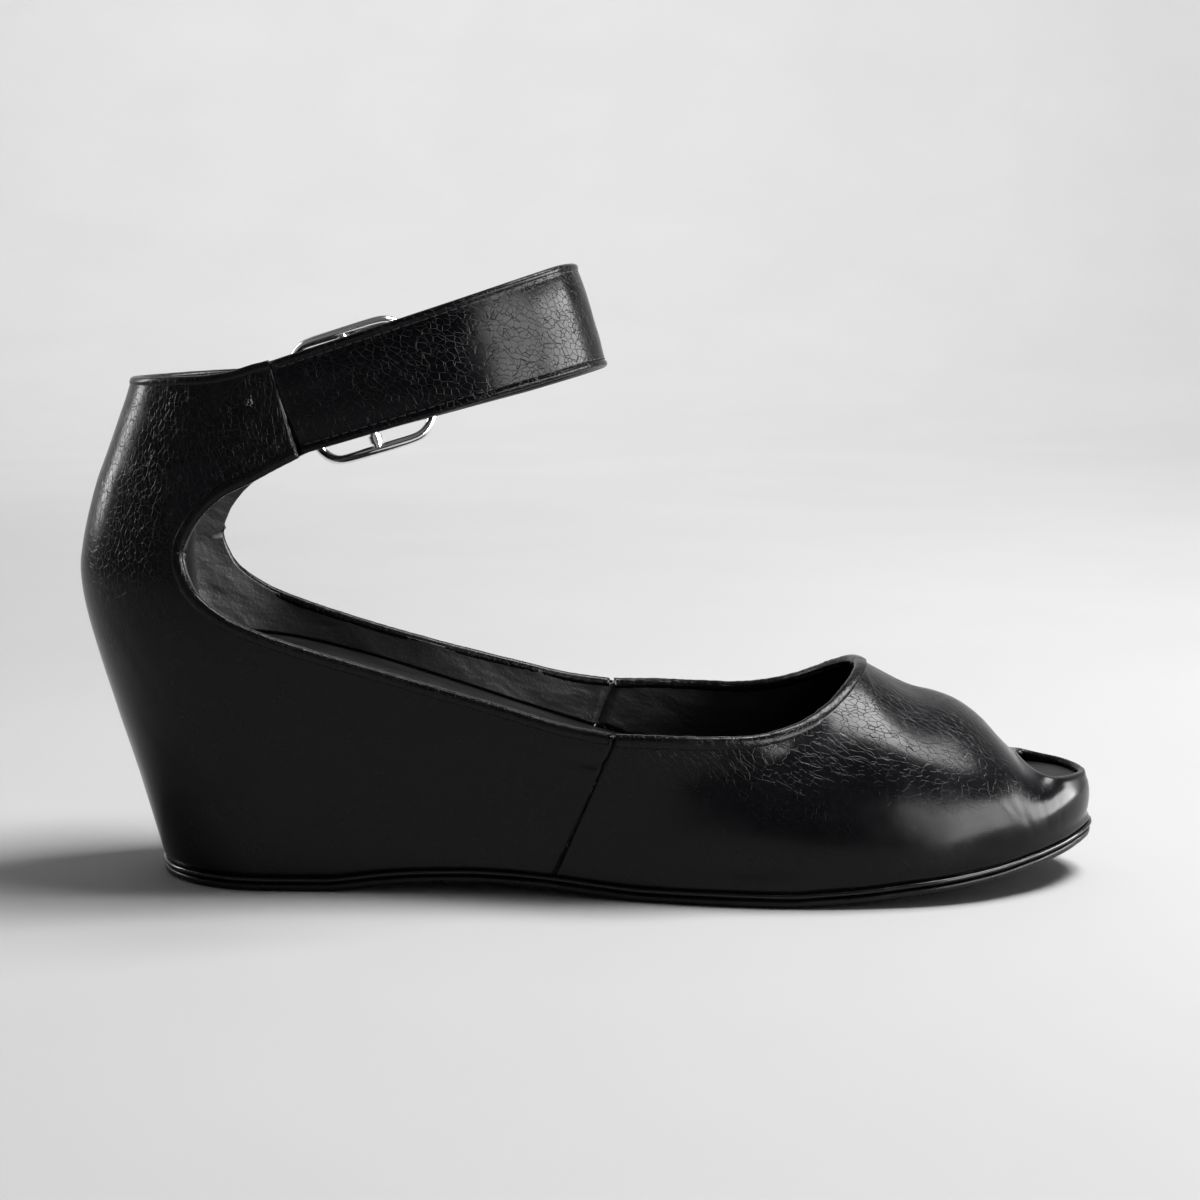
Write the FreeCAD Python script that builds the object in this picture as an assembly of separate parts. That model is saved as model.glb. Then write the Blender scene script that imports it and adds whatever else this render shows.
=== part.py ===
"""Wedge sandal, left shoe, about EU 38: peep toe, covered wedge, closed heel and a buckled ankle strap.

Millimetres. +X points to the toe, +Y to the lateral (outer) side, +Z up.
The origin is on the floor at the middle of the heel's tread.
"""
import FreeCAD, Part
import math
import os

V = FreeCAD.Vector

# ---------------------------------------------------------------- driving dimensions
MEDIAL, LATERAL = -1, 1

OUTSOLE_THICK = 2.4
WELT_THICK = 1.1
WELT_PROUD = 0.5
WELT_WIDTH = 6.0
COVER = 1.2            # leather cover of the upper and the wedge
COUNTER = 0.9          # heel stiffener
LINING = 0.8
GRIP = 0.6             # heel grip
GAP = 0.12             # between glued layers
SOCK_THICK = 1.0
FOAM_THICK = 3.0
BOARD_THICK = 1.8
SHANK = (-12.0, 88.0, 12.0, 1.2)       # from x, to x, width, thickness
RIVET_X = (0.0, 72.0)
RIVET_RADIUS = 1.8

TOE_TIP = (197.6, -3.0)
SEAM_BOTTOM_X, SEAM_TOP = 66.5, (80.9, 39.0)
NOTCH = (-19.8, 79.2)                  # deepest point of the opening behind the ankle bone
HEEL_TOP_Z = 120.0

# Underside of the sole along the shoe: flat at heel and ball, arched between them, sprung at the toe.
SOLE = [(-30, -0.3), (0, -0.3), (12, -0.1), (30, 1.9), (48, 2.6), (64, 1.9), (78, 0.6), (90, -0.2),
        (105, -0.3), (118, -0.2), (129, 0.5), (139, 1.2), (149, 2.2), (160, 3.3), (171, 4.7), (183, 6.7),
        (190, 8.0), (198, 9.5)]
# Top of the sock that the foot stands on.
FOOTBED = [(-48, 56.0), (-30, 55.0), (-15, 54.0), (0, 52.0), (20, 47.0), (40, 40.3), (60, 33.0), (80, 26.2),
           (100, 20.8), (120, 17.8), (135, 16.8), (150, 17.2), (165, 19.6), (177, 22.0), (186, 23.4),
           (198, 23.5)]
# Heel back against height, and half the width across the heel against height.
HEEL_BACK = [(-1, 28.3), (10, 31.6), (26, 36.1), (40, 40.5), (56, 45.2), (66, 47.6), (74.5, 48.6), (80, 48.0),
             (88, 46.3), (96, 43.9), (103, 41.2), (110, 38.6), (117, 36.0), (126, 33.4)]
HEEL_HALF = [(-1, 27.3), (20, 28.6), (40, 31.0), (60, 33.2), (75, 33.4), (90, 31.8), (105, 30.0), (126, 28.4)]
# How much wider than the heel the waist is, forward of the heel: at the sole and at the topline.
WAIST_SOLE = {MEDIAL: [(0, 0), (30, 1.5), (60, 4.7), (80, 8.7), (100, 13.0)],
              LATERAL: [(0, 0), (30, 3.7), (60, 9.2), (80, 13.0), (100, 15.7)]}
WAIST_TOP = {MEDIAL: [(0, 0), (30, -0.5), (50, 1.0), (80, 6.9), (100, 9.0)],
             LATERAL: [(0, 0), (30, 1.0), (50, 4.0), (80, 9.5), (100, 11.0)]}
# Edge of the side covers as seen from the side (x, z): below the opening, above it, and the heel's top edge.
TOPLINE = [NOTCH, (-18.8, 75.7), (-16.2, 71.0), (-10.5, 66.4), (-3.6, 62.9), (7.9, 58.7), (19, 55.2),
           (31, 51.6), (42, 48.4), (54.2, 45.0), (68.1, 41.2), SEAM_TOP]
OPENING_TOP = [NOTCH, (-19.3, 82.4), (-17.3, 86.6), (-13.8, 91.0), (-9.1, 94.7), (-3.2, 97.5), (1.6, 100.0),
               (8.0, 103.3)]
HEEL_TOP = [(-14.2, 120.9), (-12.0, 121.2), (-9.4, 121.6), (-6.6, 122.2), (-4.0, 123.0), (-1.8, 123.7),
            (0.0, 124.1), (1.6, 124.6)]

# The vamp, as ribs from the sole edge to the vamp's own edge or ridge:
# (sole x, sole y medial, sole y lateral, top x, top y medial, top y lateral, top z, lean at the top).
THROAT_RIBS = [
    (66.5, -33.2, 38.2, 80.9, -38.2, 40.9, 39.0, 6), (82.0, -36.4, 40.7, 92.0, -39.2, 42.0, 38.8, 9),
    (98.0, -40.1, 42.8, 103.5, -38.8, 41.6, 38.5, 15), (112.0, -42.5, 43.6, 114.5, -36.2, 39.0, 38.9, 26),
    (122.0, -43.4, 43.5, 124.0, -31.4, 34.0, 41.0, 38), (130.5, -43.4, 42.6, 131.0, -25.0, 27.0, 44.4, 52),
    (137.0, -43.1, 41.5, 136.2, -16.8, 18.0, 48.2, 66), (142.0, -42.6, 40.5, 139.4, -8.2, 8.6, 50.8, 80),
    (146.5, -41.9, 39.4, 140.4, 0.0, 0.0, 51.6, 90)]
RIDGE_RIBS = [
    THROAT_RIBS[-1], (151.0, -41.3, 38.4, 147.0, 0, 0, 48.0, 90), (155.5, -40.4, 37.1, 153.5, 0, 0, 44.9, 90),
    (160.0, -39.1, 35.5, 160.0, 0, 0, 43.2, 90), (164.5, -37.4, 33.6, 165.5, 0, 0, 40.9, 90),
    (169.0, -35.4, 31.4, 170.6, 0, 0, 37.2, 90), (173.5, -32.9, 28.9, 175.4, 0, 0, 32.0, 90),
    (178.0, -29.8, 25.8, 179.4, 0, 0, 28.1, 86)]
TOE_RIBS = [
    RIDGE_RIBS[-1], (181.2, -27.6, 23.4, 180.2, -9.5, 7.9, 27.4, 86),
    (184.2, -25.0, 20.8, 182.6, -16.6, 14.0, 26.4, 86), (187.6, -21.8, 17.4, 185.8, -17.6, 13.8, 25.7, 86),
    (191.0, -17.8, 13.4, 189.2, -14.8, 10.8, 25.4, 86), (194.3, -12.8, 8.6, 192.4, -10.9, 7.0, 25.2, 86),
    (196.7, -7.8, 3.0, 194.6, -6.8, 2.2, 25.0, 86), (197.6, -3.0, -3.0, 195.3, -3.0, -3.0, 24.9, 86)]
# Fullness of a rib where it arrives at the ridge, and the extra roll of the rim round the open toe.
FULLNESS = [(140, 1.5), (160, 1.9), (178, 2.9), (190, 2.5)]
RIM_ROLL = [(180, 0.0), (188, 5.0)]
TOE_FLARE = [(160, 7.0), (185, 20.0)]

# Ankle strap: middle line in plan, from the medial seam round the front to the free end.
STRAP_LINE = [(5.1, -28.0), (18, -30.2), (34, -30.6), (48, -28.4), (61, -22.2), (70.6, -12.2), (74.4, 0.0),
              (71.2, 11.6), (62.5, 20.8), (50, 25.8), (41, 27.1), (32.2, 28.0), (24.5, 30.2), (16.7, 32.3),
              (9, 33.0), (1, 33.3), (-9, 32.6), (-20, 30.4)]
STRAP_SLOPE = 17.2                     # degrees, rising to the front
STRAP_START_Z = 114.0
STRAP_LATERAL_DROP = 2.4
STRAP_WIDTH = [(0.0, 22.4), (0.2, 23.6), (0.42, 25.6), (0.6, 24.4), (0.78, 22.0), (0.9, 20.6), (1.0, 20.4)]
STRAP_LAYERS = {"strap_outer": (1.1, 0.1), "strap_core": (0.05, -0.25), "strap_lining": (-0.3, -1.1)}
STRAP_TIP = 9.0                        # length of the rounded end
HOLE_RADIUS = 2.0
HOLE_PITCH = 7.0
HOLE_OFFSET = 3.3                      # from the bar to the hole in use
HOLES_EACH_SIDE = 2

BUCKLE_CENTRE = V(16.7, 28.0, 115.6)
BAR_RADIUS = 1.2
FRAME_ALONG, FRAME_ACROSS = 31.6, 31.0   # between the centre lines of the frame's members
FRAME_CORNER = 6.5
FRAME_RADIUS = 1.2
FRAME_ARCH = 5.6                        # how far the two ends stand out beyond the bar
FRAME_TILT = 2.6                        # the rear end stands this much further out
CHAPE_THICK = 0.9
CHAPE_WIDTH = 20.0
CHAPE_SLOT = 4.6                        # width of the slot that the prong turns in
CHAPE_SLOT_BACK = -4.4
CHAPE_BACK = -11.6                      # the end that is sewn to the tab
CHAPE_SEAM = 0.7                        # the face where its two leaves meet, out from the bar's middle
PRONG_WIDTH = 3.0
PRONG_RADIUS = 0.9
RUNNING = 0.06                          # radial clearance of the prong on its bar
PRONG_EYE = 0.9                         # wall of the loop round the bar
PRONG_TONGUE = [(1.1, 1.7), (2.3, 2.6), (3.0, 3.6), (3.5, 4.8), (4.4, 6.1), (6.4, 7.0), (9.5, 7.2),
                (13.2, 6.8), (16.0, 6.1), (18.0, 5.6)]
BAR_COLLAR = (1.7, 11.7, 13.7)          # radius, and where it starts and ends from the bar's middle
KEEPER_MIDDLE = V(-11.0, 32.3, 106.6)   # on the strap's middle line
KEEPER_TURN = 12.0                      # degrees that it turns with the heel, away from the strap's front
KEEPER_WIDTH = 6.5
KEEPER_THICK = 0.9
KEEPER_REACH, KEEPER_TOP = 11.0, 1.9    # inside, to each side of the strap and out from its middle
KEEPER_FEET = (-1.4, -5.4)              # where the lower and the upper foot end on the tab
ROUND_POLES = 1.045                     # a ring of 12 poles stands this much outside the round bar it makes

HEEL_COLUMNS, WAIST_STEPS, TAB_STEPS, RIB_STEPS, ROWS = 12, 2, 2, 2, 14


# ---------------------------------------------------------------- interpolation
def through(points, x):
    """A smooth curve through (x, value) points, held level beyond its ends."""
    if x <= points[0][0]:
        return points[0][1]
    if x >= points[-1][0]:
        return points[-1][1]
    i = max(k for k in range(len(points) - 1) if points[k][0] <= x)

    def slope(k):
        a, b = max(k - 1, 0), min(k + 1, len(points) - 1)
        return (points[b][1] - points[a][1]) / (points[b][0] - points[a][0])

    (x0, y0), (x1, y1) = points[i], points[i + 1]
    h = x1 - x0
    t = (x - x0) / h
    return (y0 * (1 + 2 * t) * (1 - t) ** 2 + slope(i) * h * t * (1 - t) ** 2
            + y1 * t * t * (3 - 2 * t) - slope(i + 1) * h * t * t * (1 - t))


def refine(rows, steps):
    """More rows of numbers between the given ones, on smooth curves through them."""
    count = (len(rows) - 1) * steps
    columns = [[(k, row[c]) for k, row in enumerate(rows)] for c in range(len(rows[0]))]
    return [tuple(through(column, n / steps) for column in columns) for n in range(count + 1)]


def mix(a, b, t):
    return a + (b - a) * t


def unit(v):
    v = V(v)
    v.normalize()
    return v


# ---------------------------------------------------------------- solids from grids of points
def spline_face(grid, degree_u=3, degree_v=3):
    """A face whose edges follow the grid's own edge points, so that neighbours share them exactly."""
    def knots(count, degree):
        inner = count - degree - 1
        return [degree + 1] + [1] * inner + [degree + 1], list(range(inner + 2))

    mults_u, knots_u = knots(len(grid), degree_u)
    mults_v, knots_v = knots(len(grid[0]), degree_v)
    surface = Part.BSplineSurface()
    surface.buildFromPolesMultsKnots(grid, mults_u, mults_v, knots_u, knots_v, False, False,
                                     degree_u, degree_v)
    return surface.toShape()


def borders(grid):
    return [grid[0], grid[-1], [row[0] for row in grid], [row[-1] for row in grid]]


def key(line):
    ends = [tuple(round(c, 3) for c in p) for p in (line[0], line[len(line) // 2], line[-1])]
    other = [tuple(round(c, 3) for c in p) for p in (line[-1], line[(len(line) - 1) // 2], line[0])]
    return min(tuple(ends), tuple(other))


def sewn(faces, name):
    """One closed solid from faces that meet edge to edge."""
    shape = Part.Compound(faces)
    shape.sewShape(0.002)
    solid = Part.Solid(shape.Shells[0])
    if solid.Volume < 0:
        solid.reverse()
    if len(shape.Shells) != 1 or not solid.isValid() or not solid.Shells[0].isClosed():
        print("CHECK", name, "shells", len(shape.Shells), "valid", solid.isValid())
    return solid


def quilt(patches, name):
    """A solid between outer and inner grids; patches that share a border are joined there."""
    seen = {}
    for outer, _ in patches:
        for line in borders(outer):
            seen[key(line)] = seen.get(key(line), 0) + 1
    faces = []
    for outer, inner in patches:
        faces += [spline_face(outer), spline_face(inner)]
        for top, bottom in zip(borders(outer), borders(inner)):
            if seen[key(top)] == 1:
                faces.append(spline_face([top, bottom], 1, 3))
    return sewn(faces, name)


def coons(first, last, left, right):
    """Fill a four-sided outline: first and last run across, left and right run along."""
    n, m = len(left) - 1, len(first) - 1
    grid = []
    for i in range(n + 1):
        u = i / n
        row = []
        for j in range(m + 1):
            v = j / m
            p = first[j] * (1 - u) + last[j] * u + left[i] * (1 - v) + right[i] * v
            p -= first[0] * ((1 - u) * (1 - v)) + first[m] * ((1 - u) * v)
            p -= last[0] * (u * (1 - v)) + last[m] * (u * v)
            row.append(p)
        grid.append(row)
    return grid


# ---------------------------------------------------------------- outer surface of heel and waist
def heel_back(z):
    return through(HEEL_BACK, z)


def half_width(x, z, side):
    """Half the outer width at x, on one side."""
    f = min(max(z / 60.0, 0.0), 1.0)
    return through(HEEL_HALF, z) + mix(through(WAIST_SOLE[side], x), through(WAIST_TOP[side], x), f)


def wall_level(x, y, z, side):
    """0 on the outer surface, more outside it."""
    if x < 0:
        return (x / heel_back(z)) ** 2 + (y / through(HEEL_HALF, z)) ** 2 - 1
    return 2 * (abs(y) / half_width(x, z, side) - 1)


def wall_point(x, z, side):
    """Point of the outer surface, and the direction out of it."""
    if x < 0:
        y = through(HEEL_HALF, z) * math.sqrt(max(0.0, 1 - (x / heel_back(z)) ** 2))
    else:
        y = half_width(x, z, side)
    y *= side
    e = 0.05
    steps = [V(e, 0, 0), V(0, e, 0), V(0, 0, e)]
    p = V(x, y, z)
    out = []
    for s in steps:
        a, b = p + s, p - s
        if x < 0:
            a.x, b.x = min(a.x, -1e-9), min(b.x, -1e-9)
        else:
            a.x, b.x = max(a.x, 0.0), max(b.x, 0.0)
        out.append((wall_level(*a, side) - wall_level(*b, side)) / max((a - b).Length, 1e-9))
    return p, unit(V(*out))


def sole_z(x):
    return through(SOLE, x)


def cover_foot(x):
    """Height of the cover's lower edge, on top of the welt."""
    return max(sole_z(x), 0.0) + OUTSOLE_THICK + WELT_THICK + GAP


def wall_column(low, high, side, rows=ROWS):
    """Points up the outer surface from (x, z) low to (x, z) high, keeping their place round the heel."""
    turn_low, turn_high = low[0] / heel_back(low[1]), high[0] / heel_back(high[1])
    column = []
    for k in range(rows + 1):
        t = k / rows
        z = mix(low[1], high[1], t)
        x = heel_back(z) * mix(turn_low, turn_high, t) if high[0] < 0 else mix(low[0], high[0], t)
        column.append(wall_point(x, z, side))
    return column


def foot_of(top):
    """Where the column under a topline point meets the sole edge."""
    if top[0] < 0:
        x = top[0] / heel_back(top[1]) * heel_back(4.0)
    else:
        x = top[0] * SEAM_BOTTOM_X / SEAM_TOP[0]
    return x, cover_foot(x)


def heel_turns(last_turn, count=HEEL_COLUMNS):
    """Cosines that step round the heel from the back seam to the opening."""
    last = math.acos(last_turn)
    first = math.radians(0.15)
    return [math.cos(mix(first, last, k / count)) for k in range(count + 1)]


def quarter_patches(side, low=None, trim=0.0):
    """The four pieces of one side: heel below, waist, heel above, tab. low(x) is the lower edge's height."""
    low = low or cover_foot
    turn = -NOTCH[0] / heel_back(NOTCH[1])
    below, above = [], []
    for c in heel_turns(turn):
        x_low = -c * heel_back(low(-c * heel_back(50)))
        x_mid = -c * heel_back(NOTCH[1])
        z_top = mix(HEEL_TOP_Z, HEEL_TOP[0][1], (1 - c) / (1 - turn)) - trim
        below.append(wall_column((x_low, low(x_low)), (x_mid, NOTCH[1]), side))
        above.append(wall_column((x_mid, NOTCH[1]), (-c * heel_back(z_top), z_top), side))
    waist = []
    for top in refine(TOPLINE, WAIST_STEPS):
        x_foot, _ = foot_of(top)
        x_low = mix(x_foot, top[0], (low(x_foot) - cover_foot(x_foot)) / (top[1] - cover_foot(x_foot)))
        if top[0] < 0:
            x_low = top[0] / heel_back(top[1]) * heel_back(low(x_foot))
        z_top = top[1] - trim * min(1, (top[0] - NOTCH[0]) / 20)
        waist.append(wall_column((x_low, low(x_low)), (top[0], z_top), side))
    waist[0] = below[-1]
    tab = []
    for bottom, top in zip(refine(OPENING_TOP, TAB_STEPS), refine(HEEL_TOP, TAB_STEPS)):
        tab.append(wall_column(bottom, (top[0], top[1] - trim), side))
    tab[0] = above[-1]
    return {"below": below, "waist": waist, "above": above, "tab": tab}


def layer(columns, outer, inner):
    """Outer and inner grids of a layer at two depths; a depth may be a number or a function of x."""
    def grid(depth):
        at = depth if callable(depth) else lambda x: depth
        return [[p - n * at(p.x) for p, n in column] for column in columns]
    return grid(outer), grid(inner)


# ---------------------------------------------------------------- outer surface of the vamp
def rib(row, side, shift=None):
    """Points up one rib of the vamp."""
    bx, by_m, by_l, tx, ty_m, ty_l, tz, lean = row
    by, ty = (by_m, ty_m) if side == MEDIAL else (by_l, ty_l)
    bottom, top = V(bx, by, cover_foot(bx)), V(tx, ty, tz)
    inward = V(tx - bx, ty - by, 0)
    if abs(ty) < 1e-6:
        inward = V(0, -side, 0)
    inward = unit(inward)
    rise, run = tz - bottom.z, math.hypot(tx - bx, ty - by)
    flare = math.radians(through(TOE_FLARE, bx))
    start = (V(0, 0, math.cos(flare)) - inward * math.sin(flare)) * (1.6 * rise)
    lean = math.radians(lean)
    reach = rise * math.cos(lean) ** 2 + run * math.sin(lean) ** 2
    pull = through(FULLNESS, bx) * reach + through(RIM_ROLL, bx)
    end = (inward * math.sin(lean) + V(0, 0, math.cos(lean))) * pull
    points = []
    for k in range(ROWS + 1):
        t = k / ROWS
        p = bottom * ((1 + 2 * t) * (1 - t) ** 2) + start * (t * (1 - t) ** 2)
        p += top * (t * t * (3 - 2 * t)) - end * (t * t * (1 - t))
        if shift:
            p += shift[k]
        points.append(p)
    return points


def vamp_side(side):
    """Ribs of one side, from the seam to the middle of the toe, and the counts of its three stretches."""
    throat, ridge, toe = (refine(rows, RIB_STEPS) for rows in (THROAT_RIBS, RIDGE_RIBS, TOE_RIBS))
    rows = throat + ridge[1:] + toe[1:]
    seam = [p for p, _ in wall_column((SEAM_BOTTOM_X, cover_foot(SEAM_BOTTOM_X)), SEAM_TOP, side)]
    first = rib(rows[0], side)
    blend = 4 * RIB_STEPS
    ribs = []
    for k, row in enumerate(rows):
        t = min(k / blend, 1.0)
        keep = 1 - t * t * (3 - 2 * t)
        shift = [(a - b + V(GAP, 0, 0)) * keep for a, b in zip(seam, first)]
        ribs.append(rib(row, side, shift))
    return ribs, len(throat) - 1, len(throat) + len(ridge) - 2


def vamp_grid():
    """The whole vamp from the medial seam round the toe to the lateral seam, with outward directions."""
    medial, throat, vertex = vamp_side(MEDIAL)
    lateral, _, _ = vamp_side(LATERAL)
    ribs = medial + lateral[-2::-1]
    last = len(ribs) - 1
    grid = []
    for i, points in enumerate(ribs):
        side = MEDIAL if i <= last / 2 else LATERAL
        stretch = i if i <= last / 2 else last - i
        column = []
        for j, p in enumerate(points):
            along = ribs[min(i + 1, last)][j] - ribs[max(i - 1, 0)][j]
            up = points[min(j + 1, ROWS)] - points[max(j - 1, 0)]
            on_ridge = j == ROWS and throat <= stretch <= vertex
            if on_ridge:
                other = 1 if side == MEDIAL else -1
                along = ribs[i + other][j] - ribs[i - other][j]
                if stretch == throat:
                    along = ribs[i + other][j] - p
                if stretch == vertex:
                    along = p - ribs[i - other][j]
                out = V(-along.z, 0, along.x) * (1 if along.x > 0 else -1)
            else:
                out = along.cross(up)
            out = unit(out)
            column.append((p, out))
        grid.append(column)
    return grid, throat, vertex


def vamp_stretches(grid, throat, vertex):
    last = len(grid) - 1
    return [grid[:throat + 1], grid[throat:vertex + 1], grid[vertex:last - vertex + 1],
            grid[last - vertex:last - throat + 1], grid[last - throat:]]


# ---------------------------------------------------------------- outlines inside the covers
def cross(column, level, depth):
    """Where a column of the outer surface crosses the height level(x), moved in by depth."""
    previous = None
    for p, n in column:
        gap = p.z - level(p.x)
        if gap >= 0:
            if previous is None:
                q, m = p, n
            else:
                p0, n0, gap0 = previous
                t = gap0 / (gap0 - gap)
                q, m = p0 + (p - p0) * t, n0 + (n - n0) * t
            flat = unit(V(m.x, m.y, 0))
            point = q - flat * depth
            point.z = level(point.x)
            return point
        previous = (p, n, gap)
    raise ValueError("no crossing at x %.1f" % column[-1][0].x)


class Body:
    """Columns all round the shoe, from the back seam by the medial side to the toe and back."""

    def __init__(self):
        self.quarters = {side: quarter_patches(side) for side in (MEDIAL, LATERAL)}
        self.vamp, self.throat, self.vertex = vamp_grid()
        medial = self.quarters[MEDIAL]["below"] + self.quarters[MEDIAL]["waist"][1:]
        lateral = self.quarters[LATERAL]["below"] + self.quarters[LATERAL]["waist"][1:]
        self.columns = medial + self.vamp + lateral[::-1]

    def outline(self, level, depth, along=44, across=14):
        """Four chains of points inside the covers: heel arc, toe arc, medial side, lateral side."""
        loop = [cross(column, level, depth) for column in self.columns]
        tip = V(TOE_TIP[0] - depth, TOE_TIP[1], 0)
        toe = min(range(len(loop)), key=lambda i: math.hypot(loop[i].x - tip.x, loop[i].y - tip.y))
        medial, lateral = loop[:toe + 1], loop[toe:][::-1]
        heel_x, toe_x = -19.0, 183.0
        m_heel, m_side, m_toe = self.cut(medial, heel_x, toe_x)
        l_heel, l_side, l_toe = self.cut(lateral, heel_x, toe_x)
        heel = spaced(m_heel[::-1] + l_heel, across)
        front = spaced(m_toe + l_toe[::-1], across)
        return heel, front, spaced(m_side, along), spaced(l_side, along)

    @staticmethod
    def cut(chain, first_x, last_x):
        """Split a chain from back to front where it passes two x values."""
        def at(x):
            i = next(k for k in range(1, len(chain)) if chain[k].x >= x)
            a, b = chain[i - 1], chain[i]
            return i, a + (b - a) * ((x - a.x) / (b.x - a.x))
        i, p = at(first_x)
        j, q = at(last_x)
        return chain[:i] + [p], [p] + chain[i:j] + [q], [q] + chain[j:]


def spaced(chain, count):
    """count + 1 points at even distances along a chain."""
    run = [0.0]
    for a, b in zip(chain, chain[1:]):
        run.append(run[-1] + (b - a).Length)
    out = []
    i = 1
    for k in range(count + 1):
        d = run[-1] * k / count
        while i < len(run) - 1 and run[i] < d:
            i += 1
        t = (d - run[i - 1]) / max(run[i] - run[i - 1], 1e-9)
        out.append(chain[i - 1] + (chain[i] - chain[i - 1]) * t)
    return out


def at_height(grid, level):
    return [[V(p.x, p.y, level(p.x)) for p in row] for row in grid]


def slab(body, depth, low, high, name):
    """A sheet inside the covers between two heights, with upright edges that clear the covers."""
    def plan_level(x):
        forward = min(max((x - 120) / 40, 0.0), 1.0)
        return max(mix(low(x), high(x), forward), cover_foot(x) + 0.3)
    heel, toe, medial, lateral = body.outline(plan_level, depth)
    plan = coons(heel, toe, medial, lateral)
    return quilt([(at_height(plan, high), at_height(plan, low))], name)


# ---------------------------------------------------------------- bottom of the shoe
def raised(height):
    return lambda x: max(sole_z(x), 0.0) + height


def below_footbed(drop):
    return lambda x: through(FOOTBED, x) - drop


def make_outsole(body):
    sole = slab(body, 0.2, sole_z, raised(OUTSOLE_THICK), "outsole")
    floor = Part.makeBox(300, 120, 5, V(-60, -60, -5))
    return sole.cut(floor)


def ring_plan(body, outer, inner):
    """Plan outlines of a band that runs all round, in two halves."""
    edge = lambda x: cover_foot(x) + 0.3
    halves = []
    for depth in (outer, inner):
        heel, toe, medial, lateral = body.outline(edge, depth)
        mid_heel, mid_toe = len(heel) // 2, len(toe) // 2
        chain_m = heel[:mid_heel + 1][::-1] + medial[1:] + toe[1:mid_toe + 1]
        chain_l = heel[mid_heel:] + lateral[1:] + toe[mid_toe:-1][::-1]
        halves.append((chain_m, chain_l))
    return halves


def make_welt(body):
    (outer_m, outer_l), (inner_m, inner_l) = ring_plan(body, -WELT_PROUD, WELT_WIDTH)
    low, high = raised(OUTSOLE_THICK + 0.02), raised(OUTSOLE_THICK + WELT_THICK)
    faces = []
    for outer, inner in ((outer_m, inner_m), (outer_l, inner_l)):
        def lift(chain, level):
            return [V(p.x, p.y, level(p.x)) for p in chain]
        sections = [lift(outer, low), lift(outer, high), lift(inner, high), lift(inner, low)]
        for k in range(4):
            faces.append(spline_face([sections[k], sections[(k + 1) % 4]], 1, 3))
    return sewn(faces, "welt")


def make_filler(body):
    low, high = raised(OUTSOLE_THICK + 0.02), raised(OUTSOLE_THICK + WELT_THICK)
    return slab(body, WELT_WIDTH + 0.3, low, high, "bottom_filler")


def strip(x0, x1, width, low, high, name):
    """A straight strip along X that follows two heights."""
    count = 16

    def grid(level):
        rows = []
        for k in range(count + 1):
            x = mix(x0, x1, k / count)
            rows.append([V(x, width * (j / 3 - 0.5), level(x)) for j in range(4)])
        return rows
    return quilt([(grid(high), grid(low))], name)


def rivets(radius, top_drop, length):
    """Upright cylinders at the two rivet places, from top_drop below the footbed down."""
    pins = []
    for x in RIVET_X:
        z = through(FOOTBED, x) - top_drop
        pins.append(Part.makeCylinder(radius, length, V(x, 0, z - length)))
    return pins


SOCK_LOW = SOCK_THICK
FOAM_LOW = SOCK_LOW + 0.05 + FOAM_THICK
BOARD_LOW = FOAM_LOW + 0.05 + BOARD_THICK
CORE_TOP = BOARD_LOW + 0.15
BED_DEPTH = COVER + 2 * GAP


def make_core(body):
    """The wedge and platform block, with a groove for the shank."""
    high = below_footbed(CORE_TOP)
    levels = 6

    def between(t):
        return lambda x: mix(cover_foot(x) + 0.01, high(x), t)

    rings = []
    for k in range(levels + 1):
        rings.append(at_height(body.outline(between(k / levels), BED_DEPTH), between(k / levels)))
    faces = [spline_face(at_height(coons(*rings[k]), between(k / levels))) for k in (0, levels)]
    for chain in range(4):
        faces.append(spline_face([ring[chain] for ring in rings]))
    core = sewn(faces, "wedge_core")
    x0, x1, width, thick = SHANK
    groove_low, groove_high = below_footbed(CORE_TOP + thick + 0.2), below_footbed(CORE_TOP - 1)
    groove = strip(x0 - 1, x1 + 1, width + 1, groove_low, groove_high, "groove")
    core = core.cut(groove)
    for pin in rivets(RIVET_RADIUS + 1.0, CORE_TOP, 3.5):
        core = core.cut(pin)
    return core


def make_board(body):
    board = slab(body, BED_DEPTH, below_footbed(BOARD_LOW), below_footbed(FOAM_LOW + 0.05), "insole_board")
    for pin in rivets(RIVET_RADIUS + 0.02, 0, 20):
        board = board.cut(pin)
    return board


def make_shank():
    x0, x1, width, thick = SHANK
    shank = strip(x0, x1, width, below_footbed(CORE_TOP + thick), below_footbed(CORE_TOP), "shank")
    for pin in rivets(RIVET_RADIUS + 0.02, 0, 20):
        shank = shank.cut(pin)
    return shank


def make_shank_rivets():
    """Two rivets through board and shank, flush with the slope of the board."""
    length = BOARD_THICK + SHANK[3]
    return Part.Compound(rivets(RIVET_RADIUS, FOAM_LOW + 0.8, length))


# ---------------------------------------------------------------- uppers
def make_quarter(body, side, name):
    parts = body.quarters[side]
    return quilt([layer(parts[k], 0, COVER) for k in ("below", "waist", "above", "tab")], name)


def make_vamp(body):
    stretches = vamp_stretches(body.vamp, body.throat, body.vertex)
    return quilt([layer(s, 0, COVER) for s in stretches], "vamp")


def bed_edge(x):
    return through(FOOTBED, x) + 0.3


def lining_depth(x):
    """The lining lies on the counter at the back and on the cover further forward."""
    deep, shallow = COVER + COUNTER + 4 * GAP, COVER + GAP
    t = min(max((x + 22) / 24, 0.0), 1.0)
    return mix(deep, shallow, t * t * (3 - 2 * t))


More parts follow.
